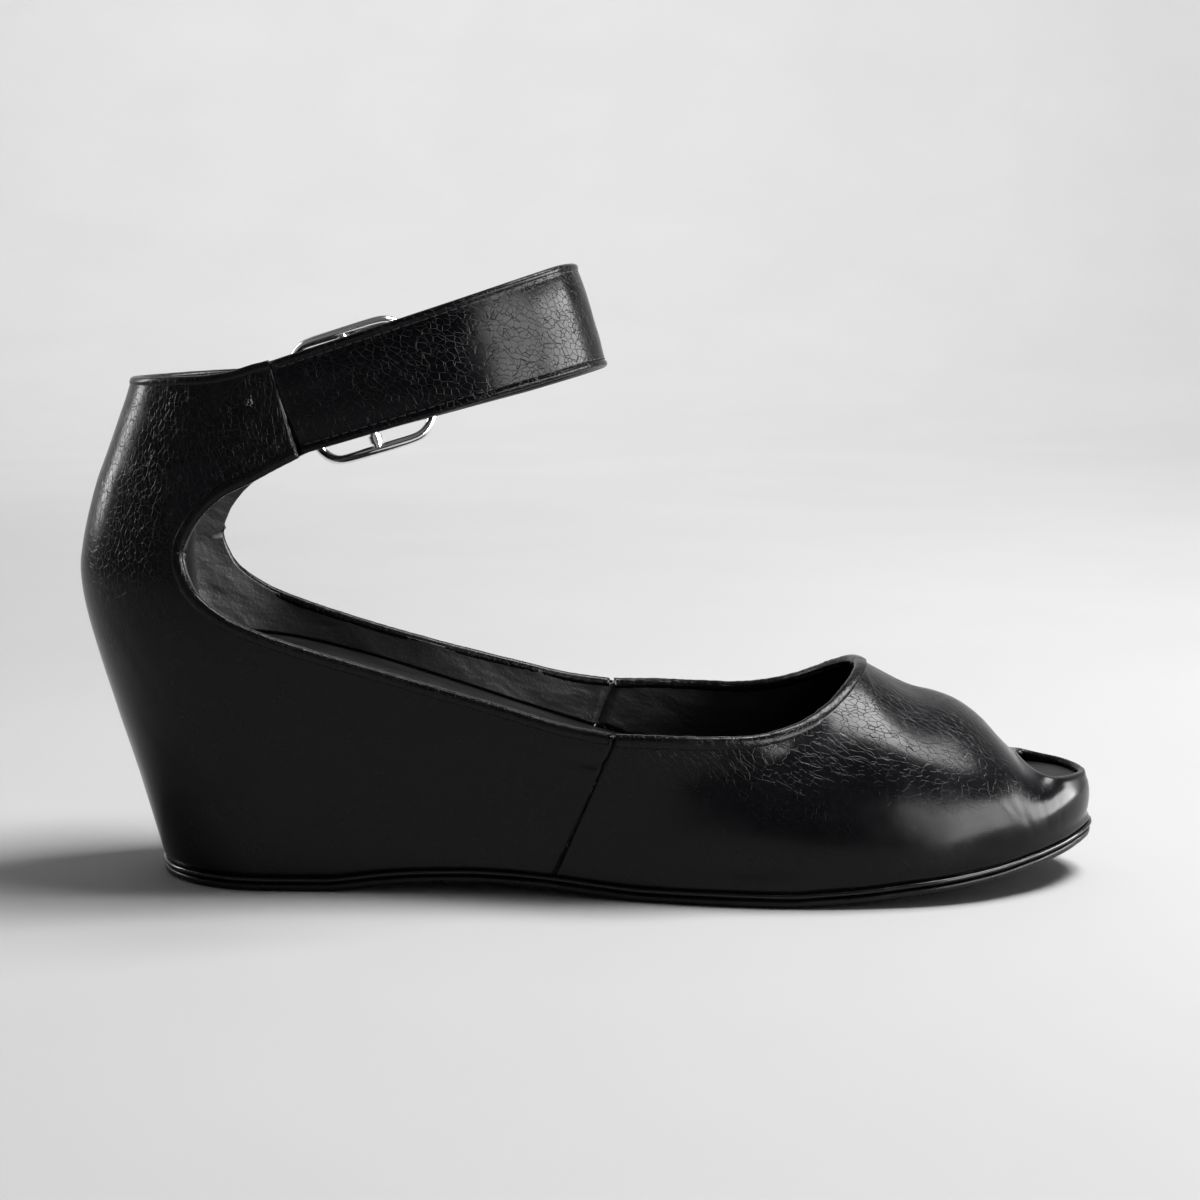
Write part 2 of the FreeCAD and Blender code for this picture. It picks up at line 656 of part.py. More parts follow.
def make_quarter_lining(side, name):
    parts = quarter_patches(side, bed_edge, 0.6)
    ahead, end = parts["waist"][-2:]
    parts["waist"][-1] = [(p + (q - p) * 0.92, n) for (p, _), (q, n) in zip(ahead, end)]
    inner = lambda x: lining_depth(x) + LINING
    return quilt([layer(parts[k], lining_depth, inner) for k in ("below", "waist", "above", "tab")], name)


GRIP_DEPTH = COVER + COUNTER + LINING + 6 * GAP


def heel_band(reach, low, top_z, outer, inner, name):
    """A layer round the heel only, from one side to the other."""
    columns = []
    count = 2 * HEEL_COLUMNS
    for k in range(count + 1):
        angle = math.radians(mix(-reach, reach, k / count))
        side = LATERAL if angle > 0 else MEDIAL
        c = math.cos(angle)
        foot = bed_edge(-c * heel_back(low))
        columns.append(wall_column((-c * heel_back(foot), foot), (-c * heel_back(top_z), top_z), side))
    return quilt([layer(columns, outer, inner)], name)


def make_vamp_lining(body):
    """The lining of the instep, from the footbed up; the open toe has none."""
    depth, inner = COVER + GAP, COVER + GAP + LINING

    def above_bed(column):
        start = next(k for k, (p, n) in enumerate(column) if (p - n * inner).z > bed_edge(p.x))
        return spaced_pairs(column[start:], ROWS)

    stretches = vamp_stretches(body.vamp, body.throat, body.vertex)
    del stretches[2]
    return quilt([layer([above_bed(column) for column in s], depth, inner) for s in stretches], "vamp_lining")


def spaced_pairs(column, count):
    """A column of points with directions, resampled by its own index."""
    out = []
    for k in range(count + 1):
        f = (len(column) - 1) * k / count
        i = min(int(f), len(column) - 2)
        (p0, n0), (p1, n1) = column[i], column[i + 1]
        out.append((p0 + (p1 - p0) * (f - i), unit(n0 + (n1 - n0) * (f - i))))
    return out


# ---------------------------------------------------------------- strap
ALONG = V(math.cos(math.radians(STRAP_SLOPE)), 0, math.sin(math.radians(STRAP_SLOPE)))
ACROSS = V(-math.sin(math.radians(STRAP_SLOPE)), 0, math.cos(math.radians(STRAP_SLOPE)))
OUT = V(0, 1, 0)


def strap_middle(x, y):
    """Height of the strap's middle line."""
    drop = STRAP_LATERAL_DROP * min(max((y + 12) / 36, 0.0), 1.0)
    return V(x, y, STRAP_START_Z + (x - STRAP_LINE[0][0]) * math.tan(math.radians(STRAP_SLOPE)) - drop)


def strap_stations(steps=3):
    """Middle points, outward directions and half widths along the strap."""
    line = [strap_middle(x, y) for x, y in refine(STRAP_LINE, steps)]
    run = [0.0]
    for a, b in zip(line, line[1:]):
        run.append(run[-1] + (b - a).Length)
    stations = []
    for k, p in enumerate(line):
        along = line[min(k + 1, len(line) - 1)] - line[max(k - 1, 0)]
        out = unit(along.cross(ACROSS))
        half = through(STRAP_WIDTH, run[k] / run[-1]) / 2
        to_tip = run[-1] - run[k]
        if to_tip < STRAP_TIP:
            half *= 0.45 + 0.55 * math.sqrt(1 - (1 - to_tip / STRAP_TIP) ** 2)
        stations.append((p, out, half))
    return stations, run


def strap_columns():
    stations, _ = strap_stations()
    count = 6
    columns = []
    for p, out, half in stations:
        columns.append([(p + ACROSS * (half * (2 * j / count - 1)), out) for j in range(count + 1)])
    return columns


def strap_holes():
    """Pins that cut the row of holes; the middle one is at the prong."""
    pins = []
    for k in range(-HOLES_EACH_SIDE, HOLES_EACH_SIDE + 1):
        centre = BUCKLE_CENTRE + ALONG * (HOLE_OFFSET + k * HOLE_PITCH)
        pins.append(Part.makeCylinder(HOLE_RADIUS, 16, centre - OUT * 4, OUT))
    return pins


def make_strap_layers():
    columns = strap_columns()
    layers = {}
    for name, (outer, inner) in STRAP_LAYERS.items():
        shape = quilt([layer(columns, -outer, -inner)], name)
        for pin in strap_holes():
            shape = shape.cut(pin)
        layers[name] = shape
    return layers


# ---------------------------------------------------------------- buckle
def at_buckle(along, out, across=0.0):
    return BUCKLE_CENTRE + ALONG * along + OUT * out + ACROSS * across


def tube(path, radius, name, closed):
    """A round bar along a path of points; a closed path joins its ends."""
    count = len(path)
    sides = 12
    rings = []
    for i, p in enumerate(path):
        if closed:
            along = path[(i + 1) % count] - path[i - 1]
        else:
            along = path[min(i + 1, count - 1)] - path[max(i - 1, 0)]
        first = unit(along.cross(V(0.0, 1.0, 0.001)))
        second = unit(along.cross(first))
        swell = radius * ROUND_POLES
        rings.append([p + first * (swell * math.cos(2 * math.pi * k / sides))
                      + second * (swell * math.sin(2 * math.pi * k / sides)) for k in range(sides + 1)])
    half = sides // 2
    if closed:
        rings.append(rings[0])
    middle = len(rings) // 2
    stretches = [rings[:middle + 1], rings[middle:]] if closed else [rings]
    faces = []
    for part in stretches:
        faces.append(spline_face([ring[:half + 1] for ring in part]))
        faces.append(spline_face([ring[half:] for ring in part]))
    if not closed:
        for ring in (rings[0], rings[-1]):
            faces.append(spline_face([ring[:half + 1], ring[half:][::-1]], 1, 3))
    return sewn(faces, name)


def frame_path():
    """Middle line of the frame: a rounded rectangle, arched so that both ends stand out."""
    a, b, r = FRAME_ALONG / 2, FRAME_ACROSS / 2, FRAME_CORNER
    flat = []
    corners = [(a - r, b - r, 0), (-(a - r), b - r, 90), (-(a - r), -(b - r), 180), (a - r, -(b - r), 270)]
    for cx, cy, start in corners:
        for k in range(6):
            t = math.radians(start + 90 * k / 5)
            flat.append((cx + r * math.cos(t), cy + r * math.sin(t)))
    path = []
    for k, (x, y) in enumerate(flat):
        nx, ny = flat[(k + 1) % len(flat)]
        steps = 5 if math.hypot(nx - x, ny - y) > r else 1
        for s in range(steps):
            path.append((mix(x, nx, s / steps), mix(y, ny, s / steps)))
    return [at_buckle(x, FRAME_ARCH * (x / a) ** 2 - FRAME_TILT * x / a, y) for x, y in path]


def make_bar():
    """The bar between the frame's long sides, with a collar near each end that keeps the chape in place."""
    length = FRAME_ACROSS - FRAME_RADIUS
    bar = Part.makeCylinder(BAR_RADIUS, length, at_buckle(0, 0, -length / 2), ACROSS)
    radius, inner, outer = BAR_COLLAR
    for first in (-outer, inner):
        bar = bar.fuse(Part.makeCylinder(radius, outer - inner, at_buckle(0, 0, first), ACROSS))
    return bar.removeSplitter()


def make_prong():
    bore = BAR_RADIUS + RUNNING
    eye = Part.makeCylinder(bore + PRONG_EYE, PRONG_WIDTH, at_buckle(0, 0, -PRONG_WIDTH / 2), ACROSS)
    hole = Part.makeCylinder(bore, PRONG_WIDTH + 2, at_buckle(0, 0, -PRONG_WIDTH / 2 - 1), ACROSS)
    path = [at_buckle(x, n) for x, n in refine(PRONG_TONGUE, 2)]
    prong = eye.fuse(tube(path, PRONG_RADIUS, "prong_tongue", False)).cut(hole)
    return prong.removeSplitter()


def extruded(outline, width, start):
    """A solid from a closed outline of (along, out) points, across the strap."""
    points = [at_buckle(a, n, start) for a, n in outline]
    face = Part.Face(Part.makePolygon(points + points[:1]))
    return face.extrude(ACROSS * width)


def make_chape():
    """A tab of leather folded round the bar, sewn to the quarter's tab, with a slot for the prong."""
    inner = BAR_RADIUS + 0.1
    outer = inner + CHAPE_THICK
    upper, lower = CHAPE_SEAM + 0.08, CHAPE_SEAM - 0.08

    def arc(radius, first, last):
        turns = [math.radians(mix(first, last, k / 16)) for k in range(17)]
        return [(radius * math.cos(t), radius * math.sin(t)) for t in turns]

    outline = [(CHAPE_BACK, upper + CHAPE_THICK), (-4.5, upper + CHAPE_THICK)] + arc(outer, 120, -120)
    outline += [(-4.5, lower - CHAPE_THICK), (CHAPE_BACK, lower - CHAPE_THICK), (CHAPE_BACK, lower)]
    outline += [(-3.6, lower)] + arc(inner, -128, 128) + [(-3.6, upper), (CHAPE_BACK, upper)]
    chape = extruded(outline, CHAPE_WIDTH, -CHAPE_WIDTH / 2)
    slot = Part.makeBox(10, 12, CHAPE_SLOT)
    turn = FreeCAD.Rotation(ALONG, OUT, ACROSS, "XYZ")
    slot.Placement = FreeCAD.Placement(at_buckle(CHAPE_SLOT_BACK, -6, -CHAPE_SLOT / 2), turn)
    return chape.cut(slot)


def make_keeper():
    """A low bridge of leather over the strap's free end, sewn to the quarter above and below it."""
    turn = math.radians(KEEPER_TURN)
    along = ALONG * math.cos(turn) + OUT * math.sin(turn)
    out = OUT * math.cos(turn) - ALONG * math.sin(turn)
    start = KEEPER_MIDDLE - along * (KEEPER_WIDTH / 2)
    reach, outside, top = KEEPER_REACH, KEEPER_REACH + KEEPER_THICK, KEEPER_TOP
    lower, upper = KEEPER_FEET
    outline = [(-outside, lower), (-outside, top - 0.4), (-reach + 0.2, top + KEEPER_THICK)]
    outline += [(reach - 0.2, top + KEEPER_THICK), (outside, top - 0.4), (outside, upper)]
    outline += [(reach, upper), (reach, top - 0.6), (reach - 0.8, top)]
    outline += [(-reach + 0.8, top), (-reach, top - 0.6), (-reach, lower)]
    points = [start + ACROSS * w + out * n for w, n in outline]
    face = Part.Face(Part.makePolygon(points + points[:1]))
    return face.extrude(along * KEEPER_WIDTH)


# ---------------------------------------------------------------- the whole shoe
def build():
    body = Body()
    foam_low, foam_high = below_footbed(FOAM_LOW), below_footbed(SOCK_LOW + 0.05)
    counter_out = COVER + 2 * GAP
    parts = {
        "outsole": make_outsole(body),
        "welt": make_welt(body),
        "bottom_filler": make_filler(body),
        "wedge_core": make_core(body),
        "insole_board": make_board(body),
        "shank": make_shank(),
        "shank_rivets": make_shank_rivets(),
        "footbed_foam": slab(body, BED_DEPTH, foam_low, foam_high, "footbed_foam"),
        "sock": slab(body, BED_DEPTH, below_footbed(SOCK_LOW), below_footbed(0), "sock"),
        "vamp": make_vamp(body),
        "quarter_medial": make_quarter(body, MEDIAL, "quarter_medial"),
        "quarter_lateral": make_quarter(body, LATERAL, "quarter_lateral"),
        "heel_counter": heel_band(58, 58.0, 112.0, counter_out, counter_out + COUNTER, "heel_counter"),
        "vamp_lining": make_vamp_lining(body),
        "quarter_lining_medial": make_quarter_lining(MEDIAL, "quarter_lining_medial"),
        "quarter_lining_lateral": make_quarter_lining(LATERAL, "quarter_lining_lateral"),
        "heel_grip": heel_band(56, 58.0, 115.0, GRIP_DEPTH, GRIP_DEPTH + GRIP, "heel_grip"),
        "chape": make_chape(),
        "buckle_frame": tube(frame_path(), FRAME_RADIUS, "buckle_frame", True),
        "buckle_bar": make_bar(),
        "buckle_prong": make_prong(),
        "keeper_loop": make_keeper(),
    }
    parts.update(make_strap_layers())
    return parts


def main():
    os.makedirs("parts", exist_ok=True)
    for name, shape in build().items():
        shape.exportStep("parts/%s.step" % name)
        box = shape.BoundBox
        print("%-24s %9.0f mm3  x %.1f %.1f  y %.1f %.1f  z %.1f %.1f" % (
            name, shape.Volume, box.XMin, box.XMax, box.YMin, box.YMax, box.ZMin, box.ZMax))


main()
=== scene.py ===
"""Wedge sandal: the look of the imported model. Row frame in metres; the surface code works in millimetres."""
import math
import bmesh
import bpy
import numpy as np
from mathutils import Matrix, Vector, noise


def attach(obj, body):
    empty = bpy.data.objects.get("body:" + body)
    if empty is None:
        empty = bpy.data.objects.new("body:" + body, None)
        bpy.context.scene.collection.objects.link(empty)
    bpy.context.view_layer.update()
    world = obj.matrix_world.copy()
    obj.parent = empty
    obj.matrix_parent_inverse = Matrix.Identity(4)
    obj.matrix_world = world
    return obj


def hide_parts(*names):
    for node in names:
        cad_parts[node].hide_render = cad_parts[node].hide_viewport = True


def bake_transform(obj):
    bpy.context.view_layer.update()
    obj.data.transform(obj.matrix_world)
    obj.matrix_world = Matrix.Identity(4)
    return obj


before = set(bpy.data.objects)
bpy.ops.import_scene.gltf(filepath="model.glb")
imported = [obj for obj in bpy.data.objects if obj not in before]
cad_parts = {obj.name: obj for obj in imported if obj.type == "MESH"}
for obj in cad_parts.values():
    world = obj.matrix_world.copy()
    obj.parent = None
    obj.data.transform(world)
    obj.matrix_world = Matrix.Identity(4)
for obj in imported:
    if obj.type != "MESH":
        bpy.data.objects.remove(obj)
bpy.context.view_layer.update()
MEDIAL, LATERAL = -1, 1
MM = 0.001

# ------------------------------------------------------------------ the same profiles as the solids
COVER, COUNTER, LINING, GRIP, GAP = 1.2, 0.9, 0.8, 0.6, 0.12
OUTSOLE_THICK, WELT_THICK = 2.4, 1.1
SEAM_BOTTOM_X, SEAM_TOP = 66.5, (80.9, 39.0)
NOTCH = (-19.8, 79.2)
HEEL_TOP_Z = 120.0
SOLE = [(-30, -0.3), (0, -0.3), (12, -0.1), (30, 1.9), (48, 2.6), (64, 1.9), (78, 0.6), (90, -0.2),
        (105, -0.3), (118, -0.2), (129, 0.5), (139, 1.2), (149, 2.2), (160, 3.3), (171, 4.7), (183, 6.7),
        (190, 8.0), (198, 9.5)]
FOOTBED = [(-48, 56.0), (-30, 55.0), (-15, 54.0), (0, 52.0), (20, 47.0), (40, 40.3), (60, 33.0), (80, 26.2),
           (100, 20.8), (120, 17.8), (135, 16.8), (150, 17.2), (165, 19.6), (177, 22.0), (186, 23.4),
           (198, 23.5)]
HEEL_BACK = [(-1, 28.3), (10, 31.6), (26, 36.1), (40, 40.5), (56, 45.2), (66, 47.6), (74.5, 48.6), (80, 48.0),
             (88, 46.3), (96, 43.9), (103, 41.2), (110, 38.6), (117, 36.0), (126, 33.4)]
HEEL_HALF = [(-1, 27.3), (20, 28.6), (40, 31.0), (60, 33.2), (75, 33.4), (90, 31.8), (105, 30.0), (126, 28.4)]
WAIST_SOLE = {MEDIAL: [(0, 0), (30, 1.5), (60, 4.7), (80, 8.7), (100, 13.0)],
              LATERAL: [(0, 0), (30, 3.7), (60, 9.2), (80, 13.0), (100, 15.7)]}
WAIST_TOP = {MEDIAL: [(0, 0), (30, -0.5), (50, 1.0), (80, 6.9), (100, 9.0)],
             LATERAL: [(0, 0), (30, 1.0), (50, 4.0), (80, 9.5), (100, 11.0)]}
TOPLINE = [NOTCH, (-18.8, 75.7), (-16.2, 71.0), (-10.5, 66.4), (-3.6, 62.9), (7.9, 58.7), (19, 55.2),
           (31, 51.6), (42, 48.4), (54.2, 45.0), (68.1, 41.2), SEAM_TOP]
OPENING_TOP = [NOTCH, (-19.3, 82.4), (-17.3, 86.6), (-13.8, 91.0), (-9.1, 94.7), (-3.2, 97.5), (1.6, 100.0),
               (8.0, 103.3)]
HEEL_TOP = [(-14.2, 120.9), (-12.0, 121.2), (-9.4, 121.6), (-6.6, 122.2), (-4.0, 123.0), (-1.8, 123.7),
            (0.0, 124.1), (1.6, 124.6)]
# foot x, y of the medial and lateral foot, top x, y of the medial and lateral top, top z, lean in degrees
THROAT_RIBS = [
    (66.5, -33.2, 38.2, 80.9, -38.2, 40.9, 39.0, 6), (82.0, -36.4, 40.7, 92.0, -39.2, 42.0, 38.8, 9),
    (98.0, -40.1, 42.8, 103.5, -38.8, 41.6, 38.5, 15), (112.0, -42.5, 43.6, 114.5, -36.2, 39.0, 38.9, 26),
    (122.0, -43.4, 43.5, 124.0, -31.4, 34.0, 41.0, 38), (130.5, -43.4, 42.6, 131.0, -25.0, 27.0, 44.4, 52),
    (137.0, -43.1, 41.5, 136.2, -16.8, 18.0, 48.2, 66), (142.0, -42.6, 40.5, 139.4, -8.2, 8.6, 50.8, 80),
    (146.5, -41.9, 39.4, 140.4, 0.0, 0.0, 51.6, 90)]
RIDGE_RIBS = [
    THROAT_RIBS[-1], (151.0, -41.3, 38.4, 147.0, 0, 0, 48.0, 90), (155.5, -40.4, 37.1, 153.5, 0, 0, 44.9, 90),
    (160.0, -39.1, 35.5, 160.0, 0, 0, 43.2, 90), (164.5, -37.4, 33.6, 165.5, 0, 0, 40.9, 90),
    (169.0, -35.4, 31.4, 170.6, 0, 0, 37.2, 90), (173.5, -32.9, 28.9, 175.4, 0, 0, 32.0, 90),
    (178.0, -29.8, 25.8, 179.4, 0, 0, 28.1, 86)]
TOE_RIBS = [
    RIDGE_RIBS[-1], (181.2, -27.6, 23.4, 180.2, -9.5, 7.9, 27.4, 86),
    (184.2, -25.0, 20.8, 182.6, -16.6, 14.0, 26.4, 86),
    (187.6, -21.8, 17.4, 185.8, -17.6, 13.8, 25.7, 86), (191.0, -17.8, 13.4, 189.2, -14.8, 10.8, 25.4, 86),
    (194.3, -12.8, 8.6, 192.4, -10.9, 7.0, 25.2, 86), (196.7, -7.8, 3.0, 194.6, -6.8, 2.2, 25.0, 86),
    (197.6, -3.0, -3.0, 195.3, -3.0, -3.0, 24.9, 86)]
FULLNESS = [(140, 1.5), (160, 1.9), (178, 2.9), (190, 2.5)]
RIM_ROLL = [(180, 0.0), (188, 5.0)]
TOE_FLARE = [(160, 7.0), (185, 20.0)]
STRAP_LINE = [(5.1, -28.0), (18, -30.2), (34, -30.6), (48, -28.4), (61, -22.2), (70.6, -12.2), (74.4, 0.0),
              (71.2, 11.6), (62.5, 20.8), (50, 25.8), (41, 27.1), (32.2, 28.0), (24.5, 30.2), (16.7, 32.3),
              (9, 33.0), (1, 33.3), (-9, 32.6), (-20, 30.4)]
STRAP_SLOPE = math.radians(17.2)
STRAP_START_Z, STRAP_LATERAL_DROP, STRAP_TIP = 114.0, 2.4, 9.0
STRAP_WIDTH = [(0.0, 22.4), (0.2, 23.6), (0.42, 25.6), (0.6, 24.4), (0.78, 22.0), (0.9, 20.6), (1.0, 20.4)]
BUCKLE_CENTRE = np.array([16.7, 28.0, 115.6])
HOLE_OFFSET, HOLE_PITCH, HOLE_RADIUS = 3.3, 7.0, 1.8
KEEPER_MIDDLE, KEEPER_TURN = np.array([-11.0, 32.3, 106.6]), 12.0
KEEPER_WIDTH, KEEPER_THICK, KEEPER_REACH, KEEPER_TOP = 6.5, 0.9, 11.0, 1.9
KEEPER_FEET = (-1.4, -5.4)
ALONG = np.array([math.cos(STRAP_SLOPE), 0, math.sin(STRAP_SLOPE)])
ACROSS = np.array([-math.sin(STRAP_SLOPE), 0, math.cos(STRAP_SLOPE)])
OUT = np.array([0.0, 1.0, 0.0])


# ------------------------------------------------------------------ curves
def through(points, x):
    """A smooth curve through (x, value) points, held level beyond its ends."""
    if x <= points[0][0]:
        return points[0][1]
    if x >= points[-1][0]:
        return points[-1][1]
    i = max(k for k in range(len(points) - 1) if points[k][0] <= x)

    def slope(k):
        a, b = max(k - 1, 0), min(k + 1, len(points) - 1)
        return (points[b][1] - points[a][1]) / (points[b][0] - points[a][0])

    (x0, y0), (x1, y1) = points[i], points[i + 1]
    h = x1 - x0
    t = (x - x0) / h
    return (y0 * (1 + 2 * t) * (1 - t) ** 2 + slope(i) * h * t * (1 - t) ** 2
            + y1 * t * t * (3 - 2 * t) - slope(i + 1) * h * t * t * (1 - t))


def curve(points):
    """The same curve as a quick function of an array."""
    xs = np.linspace(points[0][0], points[-1][0], 1200)
    ys = np.array([through(points, x) for x in xs])
    return lambda x: np.interp(x, xs, ys)


def refine(rows, steps):
    """Rows of numbers as smooth curves, with steps parts between two rows."""
    count = (len(rows) - 1) * steps
    columns = [[(k, row[c]) for k, row in enumerate(rows)] for c in range(len(rows[0]))]
    return np.array([[through(column, n / steps) for column in columns] for n in range(count + 1)])


def smooth(t):
    t = np.clip(t, 0, 1)
    return t * t * (3 - 2 * t)


def mix(a, b, t):
    return a + (b - a) * t


def unit(v):
    v = np.asarray(v, float)
    return v / np.maximum(np.linalg.norm(v, axis=-1, keepdims=True), 1e-12)


heel_back, heel_half, sole_z, footbed = curve(HEEL_BACK), curve(HEEL_HALF), curve(SOLE), curve(FOOTBED)
waist_sole = {side: curve(points) for side, points in WAIST_SOLE.items()}
waist_top = {side: curve(points) for side, points in WAIST_TOP.items()}
fullness, rim_roll, toe_flare = curve(FULLNESS), curve(RIM_ROLL), curve(TOE_FLARE)


def cover_foot(x):
    return np.maximum(sole_z(x), 0) + OUTSOLE_THICK + WELT_THICK + GAP


def bed_edge(x):
    return footbed(x) + 0.3


# ------------------------------------------------------------------ outer surface of heel and waist
def half_width(x, z, side):
    f = np.clip(z / 60, 0, 1)
    return heel_half(z) + mix(waist_sole[side](x), waist_top[side](x), f)


def level(x, y, z, side, behind):
    """Nought on the outer surface and more outside it: an oval behind, the waist's half width in front."""
    back = (x / heel_back(z)) ** 2 + (y / heel_half(z)) ** 2 - 1
    front = 2 * (np.abs(y) / half_width(x, z, side) - 1)
    return np.where(behind, back, front)


def wall(x, z, side):
    """Points of the outer surface and the directions out of it, as arrays (..., 3)."""
    x, z = np.broadcast_arrays(np.asarray(x, float), np.asarray(z, float))
    behind = x < 0
    y_back = heel_half(z) * np.sqrt(np.clip(1 - (x / heel_back(z)) ** 2, 0, 1))
    y = side * np.where(behind, y_back, half_width(x, z, side))
    step = 0.05
    out = []
    for a, b, c in step * np.eye(3):
        ahead = level(x + a, y + b, z + c, side, behind)
        out.append(ahead - level(x - a, y - b, z - c, side, behind))
    return np.stack([x, y, z], -1), unit(np.stack(out, -1))


def wall_column(low, high, side, rows):
    """Points and directions up the outer surface, between two (x, z) places."""
    t = np.linspace(0, 1, rows + 1)
    z = mix(low[1], high[1], t)
    if high[0] < 0:
        x = heel_back(z) * mix(low[0] / heel_back(low[1]), high[0] / heel_back(high[1]), t)
    else:
        x = mix(low[0], high[0], t)
    return wall(x, z, side)


def quarter(side, low, trim, steps, rows, turns):
    """The four patches of one side as (points, directions) grids: heel below, waist, heel above, tab."""
    turn = -NOTCH[0] / heel_back(NOTCH[1])
    below, above, waist, tab = [], [], [], []
    for k in range(turns + 1):
        c = math.cos(mix(math.radians(0.15), math.acos(turn), k / turns))
        x_low = -c * heel_back(low(-c * heel_back(50)))
        x_mid = -c * heel_back(NOTCH[1])
        z_top = mix(HEEL_TOP_Z, HEEL_TOP[0][1], (1 - c) / (1 - turn)) - trim
        below.append(wall_column((x_low, low(x_low)), (x_mid, NOTCH[1]), side, rows))
        above.append(wall_column((x_mid, NOTCH[1]), (-c * heel_back(z_top), z_top), side, rows))
    for top in refine(TOPLINE, steps):
        if top[0] < 0:
            share = top[0] / heel_back(top[1])
            x_low = share * heel_back(low(share * heel_back(4.0)))
        else:
            x_foot = top[0] * SEAM_BOTTOM_X / SEAM_TOP[0]
            foot = cover_foot(x_foot)
            x_low = mix(x_foot, top[0], (low(x_foot) - foot) / (top[1] - foot))
        lowered = top[1] - trim * min(1, (top[0] - NOTCH[0]) / 20)
        waist.append(wall_column((x_low, low(x_low)), (top[0], lowered), side, rows))
    for bottom, top in zip(refine(OPENING_TOP, steps), refine(HEEL_TOP, steps)):
        tab.append(wall_column(bottom, (top[0], top[1] - trim), side, rows))
    waist[0], tab[0] = below[-1], above[-1]
    return {name: (np.array([p for p, _ in part]), np.array([n for _, n in part]))
            for name, part in (("below", below), ("waist", waist), ("above", above), ("tab", tab))}


# ------------------------------------------------------------------ outer surface of the vamp
def vamp_ribs(side, steps, rows):
    """Ribs of one side from the seam to the middle of the toe, and where throat and ridge end."""
    throat, ridge, toe = (refine(r, steps) for r in (THROAT_RIBS, RIDGE_RIBS, TOE_RIBS))
    table = np.concatenate([throat, ridge[1:], toe[1:]])
    seam, _ = wall_column((SEAM_BOTTOM_X, cover_foot(SEAM_BOTTOM_X)), SEAM_TOP, side, rows)
    ribs = []
    t = np.linspace(0, 1, rows + 1)[:, None]
    for k, row in enumerate(table):
        bx, by_m, by_l, tx, ty_m, ty_l, tz, lean = row
        by, ty = (by_m, ty_m) if side == MEDIAL else (by_l, ty_l)
        bottom, top = np.array([bx, by, cover_foot(bx)]), np.array([tx, ty, tz])
        inward = np.array([tx - bx, ty - by, 0.0]) if abs(ty) > 1e-6 else np.array([0.0, -side, 0.0])
        inward = unit(inward)
        rise, run = tz - bottom[2], math.hypot(tx - bx, ty - by)
        flare, lean = math.radians(toe_flare(bx)), math.radians(lean)
        up = np.array([0.0, 0.0, 1.0])
        start = (up * math.cos(flare) - inward * math.sin(flare)) * (1.6 * rise)
        pull = fullness(bx) * (rise * math.cos(lean) ** 2 + run * math.sin(lean) ** 2) + rim_roll(bx)
        end = (inward * math.sin(lean) + up * math.cos(lean)) * pull
        p = (bottom * ((1 + 2 * t) * (1 - t) ** 2) + start * (t * (1 - t) ** 2)
             + top * (t * t * (3 - 2 * t)) - end * (t * t * (1 - t)))
        if k == 0:
            first = p
        keep = 1 - smooth(k / (4 * steps))
        ribs.append(p + (seam - first + np.array([GAP, 0, 0])) * keep)
    return np.array(ribs), len(throat) - 1, len(throat) + len(ridge) - 2


def ease(ribs, width):
    """Even out the ribs along the shoe, so that no rib shows; edges, ridge and seams keep their place."""
    reach = int(3 * width)
    kernel = np.exp(-0.5 * (np.arange(-reach, reach + 1) / width) ** 2)
    kernel /= kernel.sum()
    wide = np.pad(ribs, ((reach, reach), (0, 0), (0, 0)), mode="edge")
    even_ribs = sum(k * wide[i:i + len(ribs)] for i, k in enumerate(kernel))
    ends = smooth(np.minimum(np.arange(len(ribs)), np.arange(len(ribs))[::-1]) / (2.5 * width))
    up = np.linspace(0, 1, ribs.shape[1])
    weight = ends[:, None] * (smooth((1 - up) / 0.35) * smooth(up / 0.12))[None]
    return ribs + (even_ribs - ribs) * weight[..., None]


def vamp_surface(steps, rows):
    """All ribs from the medial seam round the toe to the lateral seam, with outward directions."""
    medial, throat, vertex = vamp_ribs(MEDIAL, steps, rows)
    lateral, _, _ = vamp_ribs(LATERAL, steps, rows)
    ribs = ease(np.concatenate([medial, lateral[-2::-1]]), 1.3 * steps)
    along = np.gradient(ribs, axis=0)
    up = np.gradient(ribs, axis=1)
    out = np.cross(along, up)
    last = len(ribs) - 1
    for i in range(len(ribs)):
        stretch = min(i, last - i)
        if throat <= stretch <= vertex:
            other = 1 if i <= last / 2 else -1
            a, b = ribs[i + other, -1], ribs[i - other, -1]
            if stretch == throat:
                b = ribs[i, -1]
            if stretch == vertex:
                a = ribs[i, -1]
            d = a - b
            out[i, -1] = np.array([-d[2], 0, d[0]]) * (1 if d[0] > 0 else -1)
    return ribs, unit(out), throat, vertex


# ------------------------------------------------------------------ mesh making
def lumps(points, size, seed):
    """Smooth noise at each point, with swellings about size across."""
    return np.array([noise.noise(Vector(p) / size + Vector((seed, seed * 0.37, 0))) for p in points])


def mesh(name, verts, faces, materials, smooth_faces=True, weld=0.0):
    data = bpy.data.meshes.new(name)
    data.from_pydata([tuple(v) for v in np.asarray(verts) * MM], [], faces)
    bm = bmesh.new()
    bm.from_mesh(data)
    if weld:
        bmesh.ops.remove_doubles(bm, verts=bm.verts, dist=weld * MM)
    bmesh.ops.dissolve_degenerate(bm, edges=bm.edges, dist=1e-7)
    for f in bm.faces:
        f.smooth = smooth_faces
    bm.to_mesh(data)
    bm.free()
    obj = bpy.data.objects.new(name, data)
    bpy.context.scene.collection.objects.link(obj)
    for m in materials:
        data.materials.append(m)
    return obj


